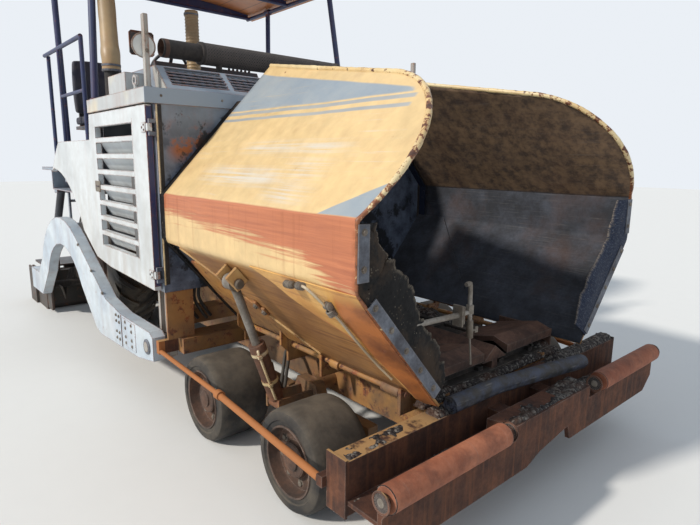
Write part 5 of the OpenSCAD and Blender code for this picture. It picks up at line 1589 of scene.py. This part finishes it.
def seats():
    """Two seats, each a cushion and a back."""
    for name, y in (("right", -0.968), ("left", 0.552)):
        cushion = seat_pad("seat_cushion_" + name, (at(4.585), y, 2.016), (0.398, 0.416, 0.088), 0.012)
        seat_pad("seat_back_" + name, (at(4.595), y, 2.13), (0.088, 0.416, 0.484), 0.014)
        if name == "right":
            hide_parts("seat_pads")


def camera_and_stage():
    """Pale floor and world, one soft sun from the machine's right, a fill, and the camera of the photograph."""
    scene = bpy.context.scene
    mesh = bpy.data.meshes.new("floor")
    mesh.from_pydata([(-40, -40, -0.001), (40, -40, -0.001), (40, 40, -0.001), (-40, 40, -0.001)], [], [(0, 1, 2, 3)])
    plane = bpy.data.objects.new("floor", mesh)
    scene.collection.objects.link(plane)
    mat = bpy.data.materials.new("floor_pale")
    mat.use_nodes = True
    tree = mat.node_tree
    shader = tree.nodes["Principled BSDF"]
    base = blend(ramp(noise(place(tree), 6.0, 5.0), 0.3, 0.7, 0.0, 0.06), (*paints().floor, 1), (0.6, 0.6, 0.6, 1))
    tree.links.new(base.socket, shader.inputs["Base Color"])
    shader.inputs["Roughness"].default_value = 0.9
    mesh.materials.append(mat)
    world = bpy.data.worlds.new("studio")
    world.use_nodes = True
    scene.world = world
    tree = world.node_tree
    tree.nodes.clear()
    ray = put(tree, "LightPath")
    seen = calc("MAXIMUM", Wire(ray, "Is Camera Ray"), Wire(ray, "Is Glossy Ray"))
    seen = calc("MAXIMUM", seen, Wire(ray, "Is Transmission Ray"))
    shown = Wire(put(tree, "Background", {"Color": (0.83, 0.87, 0.92, 1), "Strength": 1.0}))
    light = Wire(put(tree, "Background", {"Color": (0.8, 0.89, 1.0, 1), "Strength": 0.62}))
    put(tree, "OutputWorld", {"Surface": added("MixShader", {0: seen, 1: light, 2: shown})})
    lamp = bpy.data.lights.new("sun", "SUN")
    lamp.energy, lamp.angle, lamp.color = 3.1, math.radians(4), (1.0, 0.945, 0.86)
    sun = bpy.data.objects.new("sun", lamp)
    scene.collection.objects.link(sun)
    from_dir = Vector((-0.2, -0.84, 0.62))
    sun.rotation_euler = from_dir.to_track_quat("Z", "Y").to_euler()
    cam = bpy.data.cameras.new("camera")
    cam.lens, cam.sensor_width = 27.7968, 36.0
    eye = bpy.data.objects.new("camera", cam)
    scene.collection.objects.link(eye)
    eye.location = (4.336, -2.491, 1.72)
    eye.rotation_euler = tuple(math.radians(a) for a in (79.28122859, -0.60858336, 48.94080779))
    scene.camera = eye
    scene.view_settings.view_transform = "Standard"


def frame_finishes():
    """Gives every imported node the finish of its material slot."""
    for row in frame["record"]["subparts"]:
        node = frame["nodes"][row["node"]]
        if not node.material_slots:
            node.data.materials.append(None)
        for slot in node.material_slots:
            slot.link = "OBJECT"
            slot.material = material(row["material_slot"])


# operators, panel and running


def both_sides(make, *more):
    """Makes a piece for the left as drawn and for the right mirrored."""
    for side, k in SIDES:
        make(side, *more, k < 0)


class Step:
    """What every step does: it makes the pieces of both sides, then the single ones."""
    both, single = (), ()

    def execute(self, context):
        for make in self.both:
            both_sides(make)
        for make in self.single:
            make()
        return {"FINISHED"}


class PAVER_OT_frame_finishes(Step, bpy.types.Operator):
    """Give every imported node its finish"""
    bl_idname = "paver.frame_finishes"
    bl_label = "Frame finishes"
    single = (frame_finishes,)


class PAVER_OT_hopper_wings(Step, bpy.types.Operator):
    """Build the folded hopper wings with their fittings, seals and lines"""
    bl_idname = "paver.hopper_wings"
    bl_label = "Hopper wings"
    both = (wing_sheet, wing_doubler, wing_hardware, wing_flap, wing_lead)


class PAVER_OT_wheels(Step, bpy.types.Operator):
    """Build the solid front wheels and the lugged rear wheels"""
    bl_idname = "paver.wheels"
    bl_label = "Wheels"

    def execute(self, context):
        for number in (1, 2):
            both_sides(front_wheel, number)
        both_sides(rear_wheel)
        return {"FINISHED"}


class PAVER_OT_front_end(Step, bpy.types.Operator):
    """Build the push rollers, the crust on the beams, the rolled apron, the hopper's rear seals and the pointer"""
    bl_idname = "paver.front_end"
    bl_label = "Front end"
    both = (push_roller, roller_bearings, rear_seal)
    single = (beam_crust, apron_roll, pointer_bar)


class PAVER_OT_top_fittings(Step, bpy.types.Operator):
    """Build the exhaust, the air ducts, the lamps and the grille mesh"""
    bl_idname = "paver.top_fittings"
    bl_label = "Top fittings"
    single = (exhaust_pipe, ducts, lamps, grille_mesh)


class PAVER_OT_body_fittings(Step, bpy.types.Operator):
    """Build the door fittings, the bulkhead's corners and the bolts of the levelling arms"""
    bl_idname = "paver.body_fittings"
    bl_label = "Body fittings"
    both = (door_fittings, corner_fittings, arm_fittings)


class PAVER_OT_hydraulics(Step, bpy.types.Operator):
    """Build the wing cylinders' barrels and the lines under the wings"""
    bl_idname = "paver.hydraulics"
    bl_label = "Hydraulics"
    both = (cylinder_dressing, under_wing_lines)


class PAVER_OT_operator_place(Step, bpy.types.Operator):
    """Build the seats and the console's controls"""
    bl_idname = "paver.operator_place"
    bl_label = "Operator's place"
    single = (console_controls, seats)


class PAVER_OT_stage(Step, bpy.types.Operator):
    """Set up the floor, the world, the sun and the camera"""
    bl_idname = "paver.stage"
    bl_label = "Stage"
    single = (camera_and_stage,)


STEPS = (PAVER_OT_frame_finishes, PAVER_OT_hopper_wings, PAVER_OT_wheels, PAVER_OT_front_end, PAVER_OT_top_fittings,
    PAVER_OT_body_fittings, PAVER_OT_hydraulics, PAVER_OT_operator_place, PAVER_OT_stage)


class PAVER_PT_panel(bpy.types.Panel):
    """Lists the paver's steps, sizes and colours"""
    bl_idname = "PAVER_PT_panel"
    bl_label = "Paver"
    bl_space_type = "VIEW_3D"
    bl_region_type = "UI"
    bl_category = "Paver"

    def draw(self, context):
        for step in STEPS:
            self.layout.operator(step.bl_idname)
        for group_of in (context.scene.paver_sizes, context.scene.paver_colours):
            for key in group_of.__annotations__:
                self.layout.prop(group_of, key)


CLASSES = (PaverColours, PaverSizes, *STEPS, PAVER_PT_panel)


def register():
    for cls in CLASSES:
        bpy.utils.register_class(cls)
    bpy.types.Scene.paver_colours = bpy.props.PointerProperty(type=PaverColours)
    bpy.types.Scene.paver_sizes = bpy.props.PointerProperty(type=PaverSizes)


def unregister():
    del bpy.types.Scene.paver_sizes
    del bpy.types.Scene.paver_colours
    for cls in reversed(CLASSES):
        bpy.utils.unregister_class(cls)


def main():
    register()
    make_groups()
    for step in STEPS:
        name = step.bl_idname.split(".")[1]
        if getattr(bpy.ops.paver, name)() != {"FINISHED"}:
            raise RuntimeError(step.bl_label + " did not finish")


if __name__ == "__main__":
    main()
